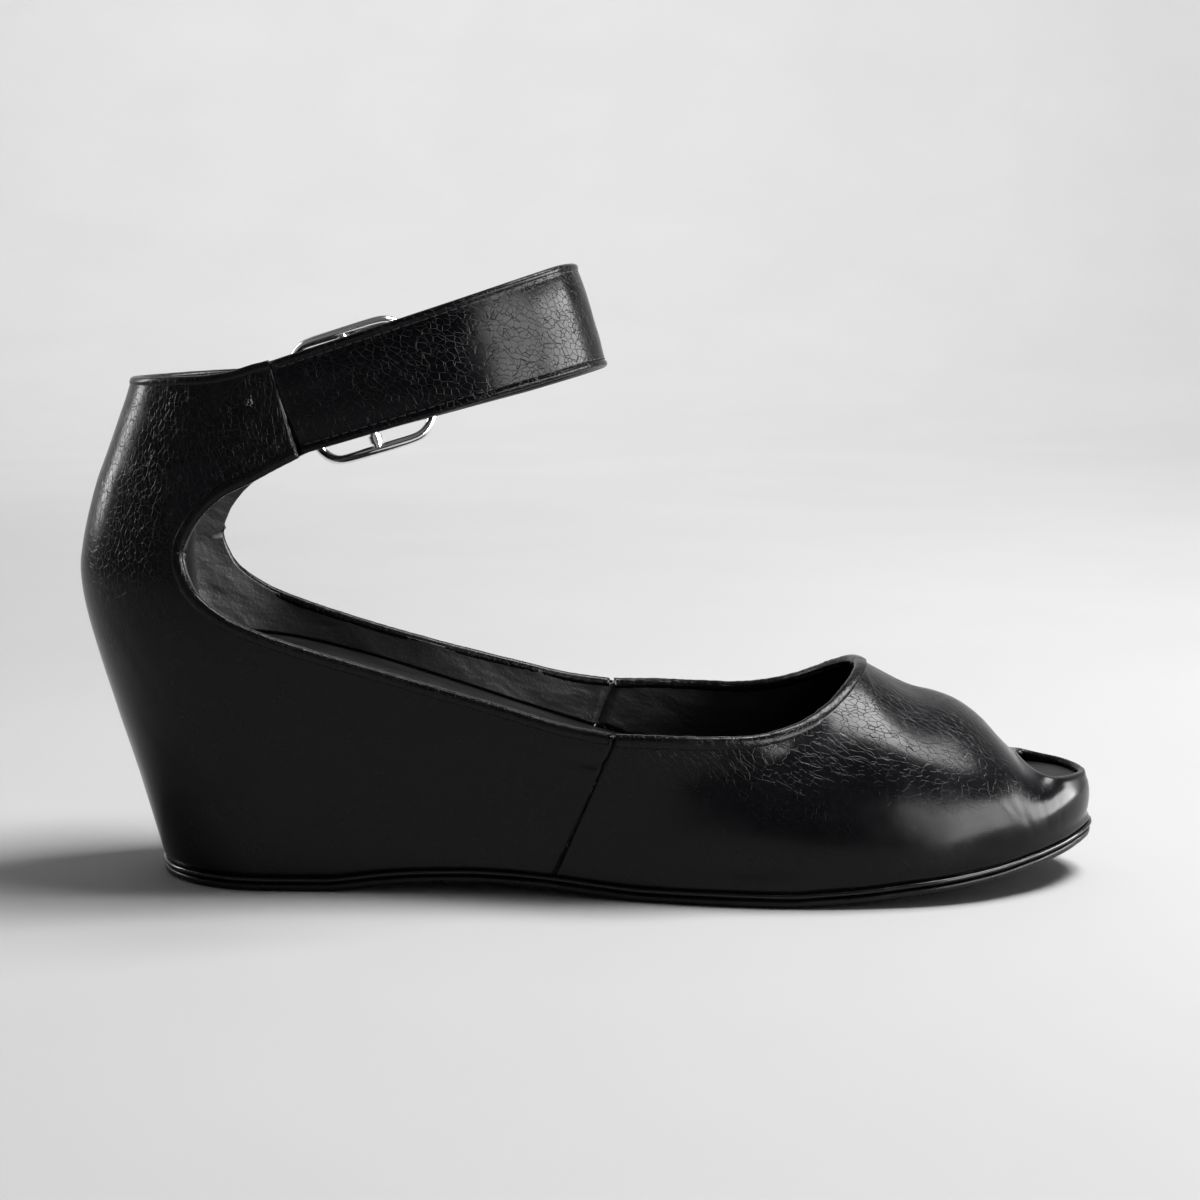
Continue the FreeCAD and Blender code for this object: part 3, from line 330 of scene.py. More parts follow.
class Shape:
    """Gathers grids of points into one mesh."""

    def __init__(self):
        self.verts, self.faces, self.count = [], [], 0

    def grid(self, points, out=None, close=False, skip=None):
        """Add a grid; out is one direction for each point, which the faces look towards."""
        n, m = points.shape[:2]
        flip = False
        if out is not None:
            turn = np.cross(np.gradient(points, axis=0), np.gradient(points, axis=1))
            flip = float((turn * out).sum()) < 0
        base = self.count
        self.verts.append(points.reshape(-1, 3))
        self.count += n * m
        for i in range(n if close else n - 1):
            k = (i + 1) % n
            for j in range(m - 1):
                if skip and skip(i, j):
                    continue
                f = (base + i * m + j, base + k * m + j, base + k * m + j + 1, base + i * m + j + 1)
                self.faces.append(f[::-1] if flip else f)

    def ends(self, tube):
        """Close both ends of a grid of closed rings with a face each."""
        for end in (0, -1):
            ring = tube[end][:-1]
            self.verts.append(ring)
            self.faces.append(tuple(range(self.count, self.count + len(ring))))
            self.count += len(ring)

    def piece(self, name, materials, weld=0.004, smooth_faces=True):
        return mesh(name, np.concatenate(self.verts), self.faces, materials, smooth_faces, weld)


def thicken(obj, thickness, offset=-1.0):
    mod = obj.modifiers.new("thickness", "SOLIDIFY")
    mod.thickness, mod.offset, mod.use_even_offset = thickness * MM, offset, False
    return obj


def even(path, step):
    """A path of points resampled at even distances; extra columns of data come along."""
    path = np.asarray(path, float)
    run = np.concatenate([[0], np.cumsum(np.linalg.norm(np.diff(path[:, :3], axis=0), axis=1))])
    count = max(2, int(round(run[-1] / step)))
    s = np.linspace(0, run[-1], count + 1)
    return np.stack([np.interp(s, run, path[:, c]) for c in range(path.shape[1])], -1)


def band(path, normals, section):
    """Sweep a closed section of (down, out) points along an edge; down lies in the surface."""
    along = unit(np.gradient(path, axis=0))
    down = unit(np.cross(along, normals))
    section = np.asarray(section)[None]
    return path[:, None] + down[:, None] * section[..., :1] + normals[:, None] * section[..., 1:2]


def rounded(width, thick, segments=5, low=0.0):
    """A closed rounded section, width along the surface and thick out of it, starting at low."""
    r = min(width, thick) / 2
    points = []
    for cx, cy, start in ((width - r, thick - r, 0), (r, thick - r, 90), (r, r, 180), (width - r, r, 270)):
        for k in range(segments + 1):
            a = math.radians(start + 90 * k / segments)
            points.append((cx + r * math.cos(a), low + cy + r * math.sin(a)))
    return points + points[:1]


# ------------------------------------------------------------------ materials
def material(name):
    m = bpy.data.materials.new(name)
    m.use_nodes = True
    nodes, links = m.node_tree.nodes, m.node_tree.links
    return m, nodes, links, nodes["Principled BSDF"]


class Net:
    """Short ways to make and join shader nodes, in object coordinates."""

    def __init__(self, name):
        self.m, self.nodes, self.links, self.bsdf = material(name)
        self.coord = self.nodes.new("ShaderNodeTexCoord").outputs["Object"]

    def to(self, source, target):
        self.links.new(source, target)

    def mapped(self, scale, rotation=(0, 0, 0), warp=0.0, warp_scale=200.0):
        """Coordinates turned first and then scaled, so that a pattern stretches along the turned axes."""
        mapping = self.nodes.new("ShaderNodeMapping")
        mapping.vector_type = "TEXTURE"
        mapping.inputs["Scale"].default_value = [1 / s for s in scale]
        mapping.inputs["Rotation"].default_value = [math.radians(a) for a in rotation]
        source = self.coord
        if warp:
            n = self.nodes.new("ShaderNodeTexNoise")
            n.inputs["Scale"].default_value = warp_scale
            n.inputs["Detail"].default_value = 2
            self.to(self.coord, n.inputs["Vector"])
            shift = self.nodes.new("ShaderNodeVectorMath")
            shift.operation = "MULTIPLY_ADD"
            shift.inputs[1].default_value = (warp, warp, warp)
            self.to(n.outputs["Color"], shift.inputs[0])
            self.to(self.coord, shift.inputs[2])
            source = shift.outputs[0]
        self.to(source, mapping.inputs["Vector"])
        return mapping.outputs["Vector"]

    def noise(self, vector, scale, detail=4.0, rough=0.55):
        n = self.nodes.new("ShaderNodeTexNoise")
        n.inputs["Scale"].default_value = scale
        n.inputs["Detail"].default_value = detail
        n.inputs["Roughness"].default_value = rough
        self.to(vector, n.inputs["Vector"])
        return n.outputs["Fac"]

    def cells(self, vector, scale, feature="DISTANCE_TO_EDGE"):
        n = self.nodes.new("ShaderNodeTexVoronoi")
        n.feature = feature
        n.inputs["Scale"].default_value = scale
        self.to(vector, n.inputs["Vector"])
        return n.outputs["Distance"]

    def ramp(self, fac, stops):
        n = self.nodes.new("ShaderNodeValToRGB")
        while len(n.color_ramp.elements) < len(stops):
            n.color_ramp.elements.new(0.5)
        for e, (pos, value) in zip(n.color_ramp.elements, stops):
            e.position = pos
            e.color = (*value, 1) if isinstance(value, tuple) else (value, value, value, 1)
        self.to(fac, n.inputs["Fac"])
        return n.outputs["Color"]

    def math(self, op, a, b):
        n = self.nodes.new("ShaderNodeMath")
        n.operation = op
        for k, v in enumerate((a, b)):
            if isinstance(v, (int, float)):
                n.inputs[k].default_value = v
            else:
                self.to(v, n.inputs[k])
        return n.outputs[0]

    def blend(self, fac, a, b, how="MIX"):
        n = self.nodes.new("ShaderNodeMix")
        n.data_type, n.blend_type = "RGBA", how
        for socket, v in ((n.inputs["Factor"], fac), (n.inputs["A"], a), (n.inputs["B"], b)):
            if isinstance(v, tuple):
                socket.default_value = (*v, 1)
            elif isinstance(v, (int, float)):
                socket.default_value = v
            else:
                self.to(v, socket)
        return n.outputs["Result"]

    def bump(self, height, distance, strength=1.0, normal=None):
        n = self.nodes.new("ShaderNodeBump")
        n.inputs["Strength"].default_value = strength
        n.inputs["Distance"].default_value = distance
        self.to(height, n.inputs["Height"])
        if normal:
            self.to(normal, n.inputs["Normal"])
        return n.outputs["Normal"]

    def finish(self, **values):
        for key, v in values.items():
            socket = self.bsdf.inputs[key.replace("_", " ")]
            if isinstance(v, (tuple, int, float)):
                socket.default_value = (*v, 1) if isinstance(v, tuple) and len(v) == 3 else v
            else:
                self.to(v, socket)
        return self.m


def glazed_leather(name, tilt=0.0, crackle=1.0, gloss=0.2, tint=(0.0028, 0.0028, 0.0036), smooth_below=None,
                   level=0.15, scuff=None, stretch=0.66, swell=0.3):
    """Black leather with a hard glaze: a thin broken net of cracks, pores and faint scuffs; the crack lines
    carry a painted highlight, a lighter colour where their edges would catch the light.

    Where it is stretched flat over the block, below the two heights smooth_below, the cracks fade out.
    scuff is the middle of a spot where the glaze is chipped away.
    """
    t = Net(name)
    broad = t.mapped((1, 0.9, stretch), (0, tilt, 0), warp=0.0005, warp_scale=500)
    tight = t.mapped((1, 1, 0.75), (0, tilt + 30, 0), warp=0.0007, warp_scale=900)
    depth = t.ramp(t.noise(t.coord, 420, 3), [(0.3, 0.0), (0.52, 1.0)])
    creases = t.ramp(t.cells(broad, 760), [(0.0, 0.0), (0.015, 0.6), (0.045, 1.0)])
    wander = t.math("ABSOLUTE", t.math("SUBTRACT", t.noise(broad, 190, 1.5, 0.5), 0.5), 0.0)
    wander = t.ramp(wander, [(0.0, 0.0), (0.003, 0.7), (0.007, 1.0)])
    creases = t.blend(1.0, wander, t.blend(depth, (1, 1, 1), creases), "MULTIPLY")
    cracks = t.ramp(t.cells(tight, 1500), [(0.0, 0.0), (0.05, 0.75), (0.13, 1.0)])
    patches = t.ramp(t.noise(t.coord, 110, 3), [(0.36, 0.1), (0.62, 1.0)])
    cracks = t.blend(patches, (1, 1, 1), cracks)
    if smooth_below:
        height = t.nodes.new("ShaderNodeSeparateXYZ")
        t.to(t.coord, height.inputs[0])
        wobble = t.math("MULTIPLY_ADD", t.noise(t.coord, 40, 3), 0.03)
        wobble.node.inputs[2].default_value = -0.015
        lowest, highest = smooth_below
        span = t.math("DIVIDE", t.math("SUBTRACT", t.math("ADD", height.outputs["Z"], wobble), lowest),
                      highest - lowest)
        bare = t.ramp(span, [(0.0, 1.0), (1.0, 0.0)])
        cracks = t.blend(bare, cracks, (1, 1, 1))
        creases = t.blend(t.math("MULTIPLY", bare, 0.95), creases, (1, 1, 1))
    pores = t.noise(t.coord, 2600, 3, 0.6)
    waves = t.noise(broad, 380, 4, 0.6)
    soft = t.bump(waves, 0.00016, swell * crackle)
    fine = t.bump(cracks, 0.00002, 0.4 * crackle, soft)
    normal = t.bump(pores, 0.000015, 0.35, t.bump(creases, 0.00007, 0.8 * crackle, fine))
    dull = t.noise(t.coord, 75, 5, 0.6)
    scratch = t.ramp(t.noise(t.mapped((40, 40, 900), (0, 38, 0)), 1.0, 3), [(0.70, 0.0), (0.76, 1.0)])
    rough = t.ramp(dull, [(0.25, gloss * 0.75), (0.5, gloss), (0.8, gloss * 1.6)])
    wear_and_sheen = t.blend(t.math("MULTIPLY", scratch, 0.35), rough, (0.5, 0.5, 0.5))
    colour = t.blend(t.ramp(dull, [(0.3, 0.0), (0.75, 1.0)]), tint, tuple(c * 1.9 for c in tint))
    # painted highlight: the crack lines are painted lighter, standing in for the light that their raised edges
    # catch
    colour = t.blend(t.math("MULTIPLY", t.math("SUBTRACT", 1.0, creases), 0.2), colour, (0.03, 0.03, 0.034))
    if scuff:
        away = t.nodes.new("ShaderNodeVectorMath")
        away.operation = "DISTANCE"
        away.inputs[1].default_value = scuff
        t.to(t.coord, away.inputs[0])
        reach = t.math("MULTIPLY", away.outputs["Value"], 240.0)
        near = t.ramp(reach, [(0.0, 1.0), (0.35, 0.85), (1.0, 0.0)])
        chips = t.math("MULTIPLY", near, t.noise(t.mapped((1, 1, 0.6)), 1500, 2, 0.6))
        colour = t.blend(t.ramp(chips, [(0.395, 0.0), (0.44, 1.0)]), colour, (0.4, 0.4, 0.4))
    return t.finish(Base_Color=colour, Roughness=wear_and_sheen, Normal=normal, Specular_IOR_Level=level)


def soft_leather(name, colour, rough=0.5, grain=900, depth=0.00012, wrinkle=0.4, level=0.25):
    """Matt leather with a fine pebble grain and broad soft folds; the grain's hollows carry painted shade."""
    t = Net(name)
    shades = [tuple(c * k for c in colour) for k in (0.5, 0.75, 1.3)]
    warped = t.mapped((1, 1, 1), warp=0.001, warp_scale=500)
    pebble = t.ramp(t.cells(warped, grain), [(0.0, 0.0), (0.35, 1.0)])
    folds = t.noise(t.mapped((0.6, 1, 1.6), (0, 20, 0), warp=0.01, warp_scale=60), 70, 3, 0.5)
    normal = t.bump(pebble, depth, 0.6, t.bump(folds, 0.0013, wrinkle))
    tone = t.noise(t.coord, 60, 5, 0.6)
    mixed = t.blend(t.ramp(tone, [(0.3, 0.0), (0.7, 1.0)]), shades[1], shades[2])
    # painted shade: darker colour in the hollows between the pebbles, where the grain's bump is lowest
    mixed = t.blend(t.math("MULTIPLY", t.math("SUBTRACT", 1.0, pebble), 0.5), mixed, shades[0])
    roughness = t.ramp(tone, [(0.3, rough * 0.85), (0.7, min(rough * 1.2, 1.0))])
    return t.finish(Base_Color=mixed, Roughness=roughness, Normal=normal, Specular_IOR_Level=level)


def suede(name, colour):
    t = Net(name)
    nap = t.noise(t.coord, 1800, 5, 0.7)
    shade = t.noise(t.coord, 90, 4, 0.6)
    mixed = t.blend(t.ramp(shade, [(0.35, 0.0), (0.65, 1.0)]), colour, tuple(c * 1.6 for c in colour))
    return t.finish(Base_Color=mixed, Roughness=0.9, Normal=t.bump(nap, 0.0002, 0.7), Sheen_Weight=0.25,
                    Sheen_Roughness=0.5, Specular_IOR_Level=0.2)


def rubber(name, colour):
    t = Net(name)
    grain = t.noise(t.coord, 1500, 4, 0.6)
    tread = t.ramp(t.cells(t.mapped((1, 1, 0.001)), 330), [(0.0, 0.0), (0.2, 1.0)])
    turned = t.nodes.new("ShaderNodeSeparateXYZ")
    t.to(t.nodes.new("ShaderNodeNewGeometry").outputs["Normal"], turned.inputs[0])
    under = t.ramp(t.math("MULTIPLY", turned.outputs["Z"], -1.0), [(0.6, 0.0), (0.8, 1.0)])
    tread = t.blend(under, (1, 1, 1), tread)
    scuff = t.noise(t.mapped((1, 2.5, 1)), 180, 6, 0.65)
    mixed = t.blend(t.ramp(scuff, [(0.5, 0.0), (0.75, 1.0)]), colour, tuple(c * 1.8 for c in colour))
    rough = t.ramp(scuff, [(0.3, 0.22), (0.7, 0.42)])
    normal = t.bump(tread, 0.00025, 0.5, t.bump(grain, 0.00004, 0.4))
    return t.finish(Base_Color=mixed, Roughness=rough, Normal=normal, Specular_IOR_Level=0.2)


def thread(name, colour):
    t = Net(name)
    twist = t.nodes.new("ShaderNodeTexWave")
    twist.inputs["Scale"].default_value = 900
    twist.inputs["Distortion"].default_value = 1.5
    t.to(t.mapped((1, 0.6, 0.8), (30, 20, 40)), twist.inputs["Vector"])
    # painted highlight: the raised twists of the thread are painted lighter, up to 2.2 times, where the bump
    # is highest
    mixed = t.blend(twist.outputs["Fac"], colour, tuple(c * 2.2 for c in colour))
    return t.finish(Base_Color=mixed, Roughness=0.55, Normal=t.bump(twist.outputs["Fac"], 0.0001, 0.6),
                    Specular_IOR_Level=0.3)


def nickel(name):
    t = Net(name)
    handling = t.noise(t.coord, 220, 5, 0.65)
    hair = t.noise(t.mapped((300, 300, 3000), (20, 0, 50)), 1.0, 2)
    rough = t.ramp(handling, [(0.35, 0.07), (0.75, 0.2)])
    colour = t.blend(t.ramp(handling, [(0.4, 0.0), (0.8, 1.0)]), (0.83, 0.82, 0.81), (0.66, 0.65, 0.65))
    return t.finish(Base_Color=colour, Roughness=rough, Metallic=1.0, Normal=t.bump(hair, 0.00001, 0.3))


def speckled(name, dark, light, scale, rough, distance=0.0003, metallic=0.0):
    """Cork, felt, foam, fibre board and plain steel: the hidden parts."""
    t = Net(name)
    fleck = t.noise(t.coord, scale, 6, 0.7)
    cells = t.cells(t.mapped((1, 1, 1), warp=0.002), scale * 0.6, "F1")
    mixed = t.blend(t.ramp(fleck, [(0.35, 0.0), (0.65, 1.0)]), dark, light)
    return t.finish(Base_Color=mixed, Roughness=rough, Metallic=metallic,
                    Normal=t.bump(cells, distance, 0.6, t.bump(fleck, distance, 0.5)))


M_COVER = glazed_leather("glazed_cover", tilt=-20, smooth_below=(0.045, 0.085),
                         scuff=(-0.0025, -0.0275, 0.1157))
M_VAMP = glazed_leather("glazed_vamp", tilt=-52, crackle=0.8, smooth_below=(0.02, 0.04), stretch=0.55,
                        swell=0.12)
M_STRAP = glazed_leather("glazed_strap", tilt=108, crackle=1.0, gloss=0.19, tint=(0.0012, 0.0013, 0.0022),
                         level=0.13, stretch=0.7, swell=0.16)
M_EDGE = glazed_leather("glazed_edge", tilt=0, crackle=0.5, gloss=0.24)
M_WELT = glazed_leather("glazed_welt", tilt=0, crackle=0.25, gloss=0.15, level=0.35)
M_LINING = soft_leather("lining_leather", (0.021, 0.0225, 0.022), rough=0.38, depth=0.00003, wrinkle=0.6,
                        level=0.4)
M_SOCK = soft_leather("sock_leather", (0.005, 0.005, 0.0055), rough=0.46, depth=0.0001, wrinkle=0.2,
                      level=0.2)
# painted highlight: a pale matt finish for the thin strip along the medial tab's fold, standing in for the
# light its edge catches
M_SEAM_HIGHLIGHT = soft_leather("painted_seam_highlight", (0.42, 0.42, 0.43), grain=1500, wrinkle=0.1)
M_GRIP = suede("grip_suede", (0.009, 0.009, 0.009))
M_SOLE = rubber("sole_rubber", (0.004, 0.004, 0.0045))
M_THREAD = thread("black_thread", (0.014, 0.014, 0.015))
M_NICKEL = nickel("polished_nickel")
CAD_MATERIALS = {
    "wedge_core": speckled("cork_block", (0.22, 0.14, 0.08), (0.45, 0.32, 0.2), 500, 0.85),
    "insole_board": speckled("fibre_board", (0.25, 0.18, 0.12), (0.4, 0.3, 0.2), 900, 0.8, 0.0001),
    "heel_counter": speckled("counter_board", (0.24, 0.19, 0.15), (0.36, 0.29, 0.22), 1100, 0.8, 0.0001),
    "footbed_foam": speckled("foam", (0.5, 0.47, 0.38), (0.7, 0.67, 0.58), 1500, 0.9, 0.0002),
    "bottom_filler": speckled("felt", (0.16, 0.15, 0.14), (0.3, 0.28, 0.26), 1700, 0.95, 0.0002),
    "strap_core": speckled("webbing", (0.012, 0.012, 0.012), (0.03, 0.03, 0.03), 1700, 0.9, 0.0001),
    "shank": speckled("shank_steel", (0.35, 0.35, 0.36), (0.5, 0.5, 0.51), 700, 0.4, 0.00002, 1.0),
    "shank_rivets": speckled("rivet_steel", (0.4, 0.4, 0.41), (0.55, 0.55, 0.56), 900, 0.35, 0.00002, 1.0),
    "buckle_frame": M_NICKEL, "buckle_bar": M_NICKEL, "buckle_prong": M_NICKEL}
for node, finish in CAD_MATERIALS.items():
    slots = bpy.data.objects[node].data.materials if node in bpy.data.objects else []
    for k in range(len(slots)):
        slots[k] = finish


# ------------------------------------------------------------------ edges, stitches and relief
def relief(points, normals, seed=1.0, big=0.28, small=0.1):
    """The uneven surface of leather pulled over a last."""
    flat, n = points.reshape(-1, 3), normals.reshape(-1, 3)
    d = big * lumps(flat, 26.0, seed) + small * lumps(flat, 8.0, seed + 5)
    return (flat + n * d[:, None]).reshape(points.shape)


def creases(points, normals, lines, side):
    """Press soft creases into a surface: (x0, z0, x1, z1, half width, depth) as seen from the side."""
    flat, n = points.reshape(-1, 3), normals.reshape(-1, 3)
    d = np.zeros(len(flat))
    facing = np.clip(flat[:, 1] * side / 6, 0, 1)
    for x0, z0, x1, z1, half, depth in lines:
        a, b = np.array([x0, z0]), np.array([x1, z1])
        p = flat[:, [0, 2]]
        t = np.clip(((p - a) @ (b - a)) / ((b - a) @ (b - a)), 0, 1)
        gap = np.linalg.norm(p - (a + t[:, None] * (b - a)), axis=1)
        fade = np.sin(np.pi * np.clip(0.08 + 0.84 * t, 0, 1))
        u = gap / half
        d -= depth * fade * facing * (np.exp(-u ** 2) - 0.45 * np.exp(-((u - 2.1) / 0.9) ** 2))
    return (flat + n * d[:, None]).reshape(points.shape)


STITCH_RINGS = ((-0.5, -0.25, 0.5), (-0.38, 0.1, 0.9), (0.0, 0.2, 1.0), (0.38, 0.1, 0.9), (0.5, -0.25, 0.5))


def stitches(shape, path, normals, pitch=2.3, length=1.75, radius=0.16):
    """Short raised stitches along a path; STITCH_RINGS has a ring's place, lift and share of the radius."""
    data = even(np.concatenate([path, normals], 1), pitch)
    for a, b in zip(data[:-1], data[1:]):
        p, q, n = a[:3], b[:3], unit(a[3:] + b[3:])
        along = unit(q - p)
        side = np.cross(along, n)
        middle = (p + q) / 2
        rings = []
        for s, lift, share in STITCH_RINGS:
            centre = middle + along * (s * length) + n * (lift * radius)
            turns = [k * math.pi / 3 for k in range(7)]
            rings.append([centre + (side * math.cos(a) + n * math.sin(a)) * (radius * share) for a in turns])
        shape.grid(np.array(rings))


CREASES = {
    "waist": [(58, 37, 90, 30, 1.1, 0.2), (62, 33, 98, 30.5, 0.8, 0.14), (2, 30, 40, 12, 1.2, 0.1),
              (20, 44, 46, 28, 1.0, 0.08), (-30, 40, -8, 14, 1.2, 0.12), (-38, 66, -24, 44, 1.0, 0.12)],
    "toe": [(168, 28, 177, 17, 0.8, 0.07), (175, 23, 180, 13, 0.6, 0.06), (181, 22, 184, 13, 0.5, 0.05),
            (186, 22, 187, 14, 0.5, 0.05), (143, 46.5, 168, 34, 4.5, 0.7)]}
ROLL = [(2.1, -0.15), (1.9, 0.12), (1.45, 0.3), (0.8, 0.38), (0.1, 0.3), (-0.4, 0.0), (-0.6, -0.5),
        (-0.62, -1.1), (-0.45, -1.7), (0.0, -2.1), (0.7, -2.3), (1.4, -2.25), (1.8, -1.9), (1.8, -0.9),
        (2.1, -0.15)]


# ------------------------------------------------------------------ the covers
def settle(normals, width=4):
    """Directions along a path, evened out."""
    kernel = np.ones(2 * width + 1) / (2 * width + 1)
    padded = np.pad(normals, ((width, width), (0, 0)), mode="edge")
    return unit(np.stack([np.convolve(padded[:, c], kernel, mode="valid") for c in range(3)], -1))


def edge_roll(shape, path, normals, turn, section=ROLL, pucker=0.05, seed=3.0):
    """The folded edge of a cover: a small bead that takes in the edge of the lining."""
    data = even(np.concatenate([path, normals], 1), 0.7)
    path, normals = data[:, :3], settle(data[:, 3:], 3)
    sweep = band(path, normals * turn, [(d, n * turn) for d, n in section])
    wave = pucker * lumps(path, 1.3, seed) + 0.04 * lumps(path, 6.0, seed + 2)
    centre = sweep.mean(axis=1, keepdims=True)
    sweep = centre + (sweep - centre) * (1 + wave[:, None, None])
    shape.grid(sweep, sweep - centre)
    shape.ends(sweep)


def near_seam(grid, spacing=2.2):
    """More columns close to the last one, where the leather turns into the seam."""
    shares = [1 - d / spacing for d in (1.4, 0.9, 0.55, 0.3, 0.14)]
    return np.concatenate([grid[:-1], [mix(grid[-2], grid[-1], t) for t in shares], grid[-1:]])


def seam_press(points, normals, gap, half=0.55, depth=0.5):
    """Pull a surface in where it is sewn; gap is the distance to the seam."""
    return points - normals * (depth * np.exp(-(gap / half) ** 2))[..., None]


def make_quarter_cover(side, name):
    parts = quarter(side, cover_foot, 0.0, 6, 44, 24)
    shape = Shape()
    for key, (p, n) in parts.items():
        q = creases(relief(p, n, 2.0 + side, 0.16, 0.05), n, CREASES["waist"], side)
        if key == "waist":
            p, n, q = near_seam(p), near_seam(n), near_seam(q)
            gap = np.linalg.norm(p - p[-1][None], axis=-1)
        else:
            gap = np.abs(p[..., 1])
        q = seam_press(q, n, gap, *((0.42, 0.5) if key == "waist" else (0.5, 0.25)))
        shape.grid(q, n)
    cover = shape.piece(name, [M_COVER])
    thicken(cover, COVER)
    line = [(p, q) for p, q in refine(OPENING_TOP, 8)[::-1]] + [(p, q) for p, q in refine(TOPLINE, 10)[1:]]
    path, n = wall([p for p, _ in line], [q for _, q in line], side)
    edges = Shape()
    edge_roll(edges, path[:-1], n[:-1], -side)
    collar = []
    turn = -NOTCH[0] / heel_back(NOTCH[1])
    for k in range(31):
        c = math.cos(mix(math.radians(0.4), math.acos(turn), k / 30))
        z_top = mix(HEEL_TOP_Z, HEEL_TOP[0][1], (1 - c) / (1 - turn))
        collar.append((-c * heel_back(z_top), z_top))
    collar += [(p, q) for p, q in refine(HEEL_TOP, 6)[1:]]
    path, n = wall([p for p, _ in collar], [q for _, q in collar], side)
    flat = [(d * 0.8, o) for d, o in ROLL]
    edge_roll(edges, path, n, -side, flat, 0.03, 9.0)
    rolls = edges.piece(name + "_edges", [M_EDGE])
    return cover, rolls


def make_vamp_cover():
    ribs, out, throat, vertex = vamp_surface(6, 46)
    last = len(ribs) - 1
    p = relief(ribs, out, 7.0, 0.16, 0.05)
    for side in (MEDIAL, LATERAL):
        p = creases(p, out, CREASES["toe"] + [(86, 34.5, 101, 37, 0.35, 0.16)], side)
    plain, fine, turned = (near_seam(near_seam(g)[::-1])[::-1] for g in (ribs, p, out))
    gap = np.minimum(*[np.linalg.norm(plain - plain[end][None], axis=-1) for end in (0, -1)])
    shape = Shape()
    shape.grid(seam_press(fine, turned, gap, 0.42, 0.5), turned)
    cover = shape.piece("cover_vamp", [M_VAMP], weld=0.02)
    thicken(cover, COVER)

    top = list(range(0, throat + 1)) + list(range(last - throat + 1, last + 1))
    path, n = ribs[top, -1], settle(out[top, -1], 3)
    edges = Shape()
    section = [(d * 1.15, o * 1.02) for d, o in ROLL]
    edge_roll(edges, path, n, 1, section, 0.07, 4.0)

    rim = p[vertex:last - vertex + 1, -1]
    along = unit(np.gradient(rim, axis=0))
    inward = unit(np.cross(along, np.array([0, 0, 1.0])))
    toe_middle = np.array([187.4, -1.4, 0])
    if ((toe_middle - rim)[:, :2] * inward[:, :2]).sum() < 0:
        inward = -inward
    inward = settle(inward, 2)
    floor = footbed(rim[:, 0]) + 0.1
    rows = [rim]
    for h, drop in ((0.35, 0.06), (0.7, 0.25), (0.95, 0.6), (1.05, 1.1), (1.05, 1.8)):
        rows.append(rim + inward * h + np.array([0, 0, -drop]))
    for f in (0.5, 1.0):
        q = rim + inward * mix(1.05, 0.5, f)
        q[:, 2] = mix(rim[:, 2] - 1.8, floor, f)
        rows.append(q)
    lip = np.stack(rows, 1)
    edges.grid(lip, np.broadcast_to((inward + np.array([0, 0, 0.6]))[:, None, :], lip.shape))
    rolls = edges.piece("cover_vamp_edges", [M_EDGE])
    return cover, rolls


def make_quarter_lining(side, name):
    shape = Shape()
    for p, n in quarter(side, bed_edge, 0.6, 4, 30, 16).values():
        deep, shallow = COVER + COUNTER + 4 * GAP, COVER + GAP
        depth = mix(deep, shallow, smooth((p[..., 0] + 22) / 24)) + LINING
        q = p - n * depth[..., None]
        q = relief(q, n, 11.0 + side, 0.22, 0.12)
        above = q[..., 2] - footbed(q[..., 0])
        sag = np.exp(-((above - 9) / 7) ** 2) * np.sin(q[..., 0] / 3.1 + q[..., 2] / 4.0)
        shape.grid(q + n * (0.13 * sag)[..., None], -n)
    return thicken(shape.piece(name, [M_LINING]), LINING)


def make_vamp_lining():
    ribs, out, _, vertex = vamp_surface(4, 30)
    inner = COVER + GAP + LINING
    last = len(ribs) - 1
    columns, turned = [], []
    for p, n in zip(ribs, out):
        q = p - n * inner
        above = q[:, 2] > bed_edge(p[:, 0])
        first = int(np.argmax(above))
        f = np.linspace(first, len(q) - 1, 25)
        k = np.arange(len(q))
        columns.append(np.stack([np.interp(f, k, q[:, c]) for c in range(3)], -1))
        turned.append(np.stack([np.interp(f, k, n[:, c]) for c in range(3)], -1))
    q, n = np.array(columns), unit(np.array(turned))
    q = relief(q, n, 15.0, 0.2, 0.12)
    shape = Shape()
    shape.grid(q[:vertex + 1], -n[:vertex + 1])
    shape.grid(q[last - vertex:], -n[last - vertex:])
    return thicken(shape.piece("lining_vamp", [M_LINING], weld=0.05), LINING)


def make_heel_grip():
    columns, normals = [], []
    for k in range(49):
        angle = math.radians(mix(-56, 56, k / 48))
        side = LATERAL if angle > 0 else MEDIAL
        c = math.cos(angle)
        foot = bed_edge(-c * heel_back(58))
        p, n = wall_column((-c * heel_back(foot), foot), (-c * heel_back(115), 115), side, 40)
        columns.append(p)
        normals.append(n)
    p, n = np.array(columns), np.array(normals)
    depth = COVER + COUNTER + LINING + 6 * GAP + GRIP
    q = relief(p - n * depth, n, 19.0, 0.12, 0.08)
    shape = Shape()
    shape.grid(q, -n)
    grip = thicken(shape.piece("heel_grip_napped", [M_GRIP]), GRIP)
    sewn = Shape()
    border = np.concatenate([q[2, 2:-2], q[2:-2, -3], q[-3, 2:-2][::-1]])
    facing = np.concatenate([-n[2, 2:-2], -n[2:-2, -3], -n[-3, 2:-2][::-1]])
    stitches(sewn, border + facing * 0.05, facing, 2.4, 1.8, 0.17)
    return grip, sewn.piece("heel_grip_stitches", [M_THREAD])


# ------------------------------------------------------------------ bottom: outlines, sole, welt, sock
def all_columns():
    """The covers' columns right round the shoe, from the heel by the medial side and the toe."""
    columns = {}
    for side in (MEDIAL, LATERAL):
        parts = quarter(side, cover_foot, 0.0, 4, 40, 16)
        columns[side] = list(zip(*parts["below"])) + list(zip(*parts["waist"]))[1:]
    ribs, out, _, _ = vamp_surface(4, 40)
    return columns[MEDIAL] + list(zip(ribs, out)) + columns[LATERAL][::-1]


COLUMNS = all_columns()


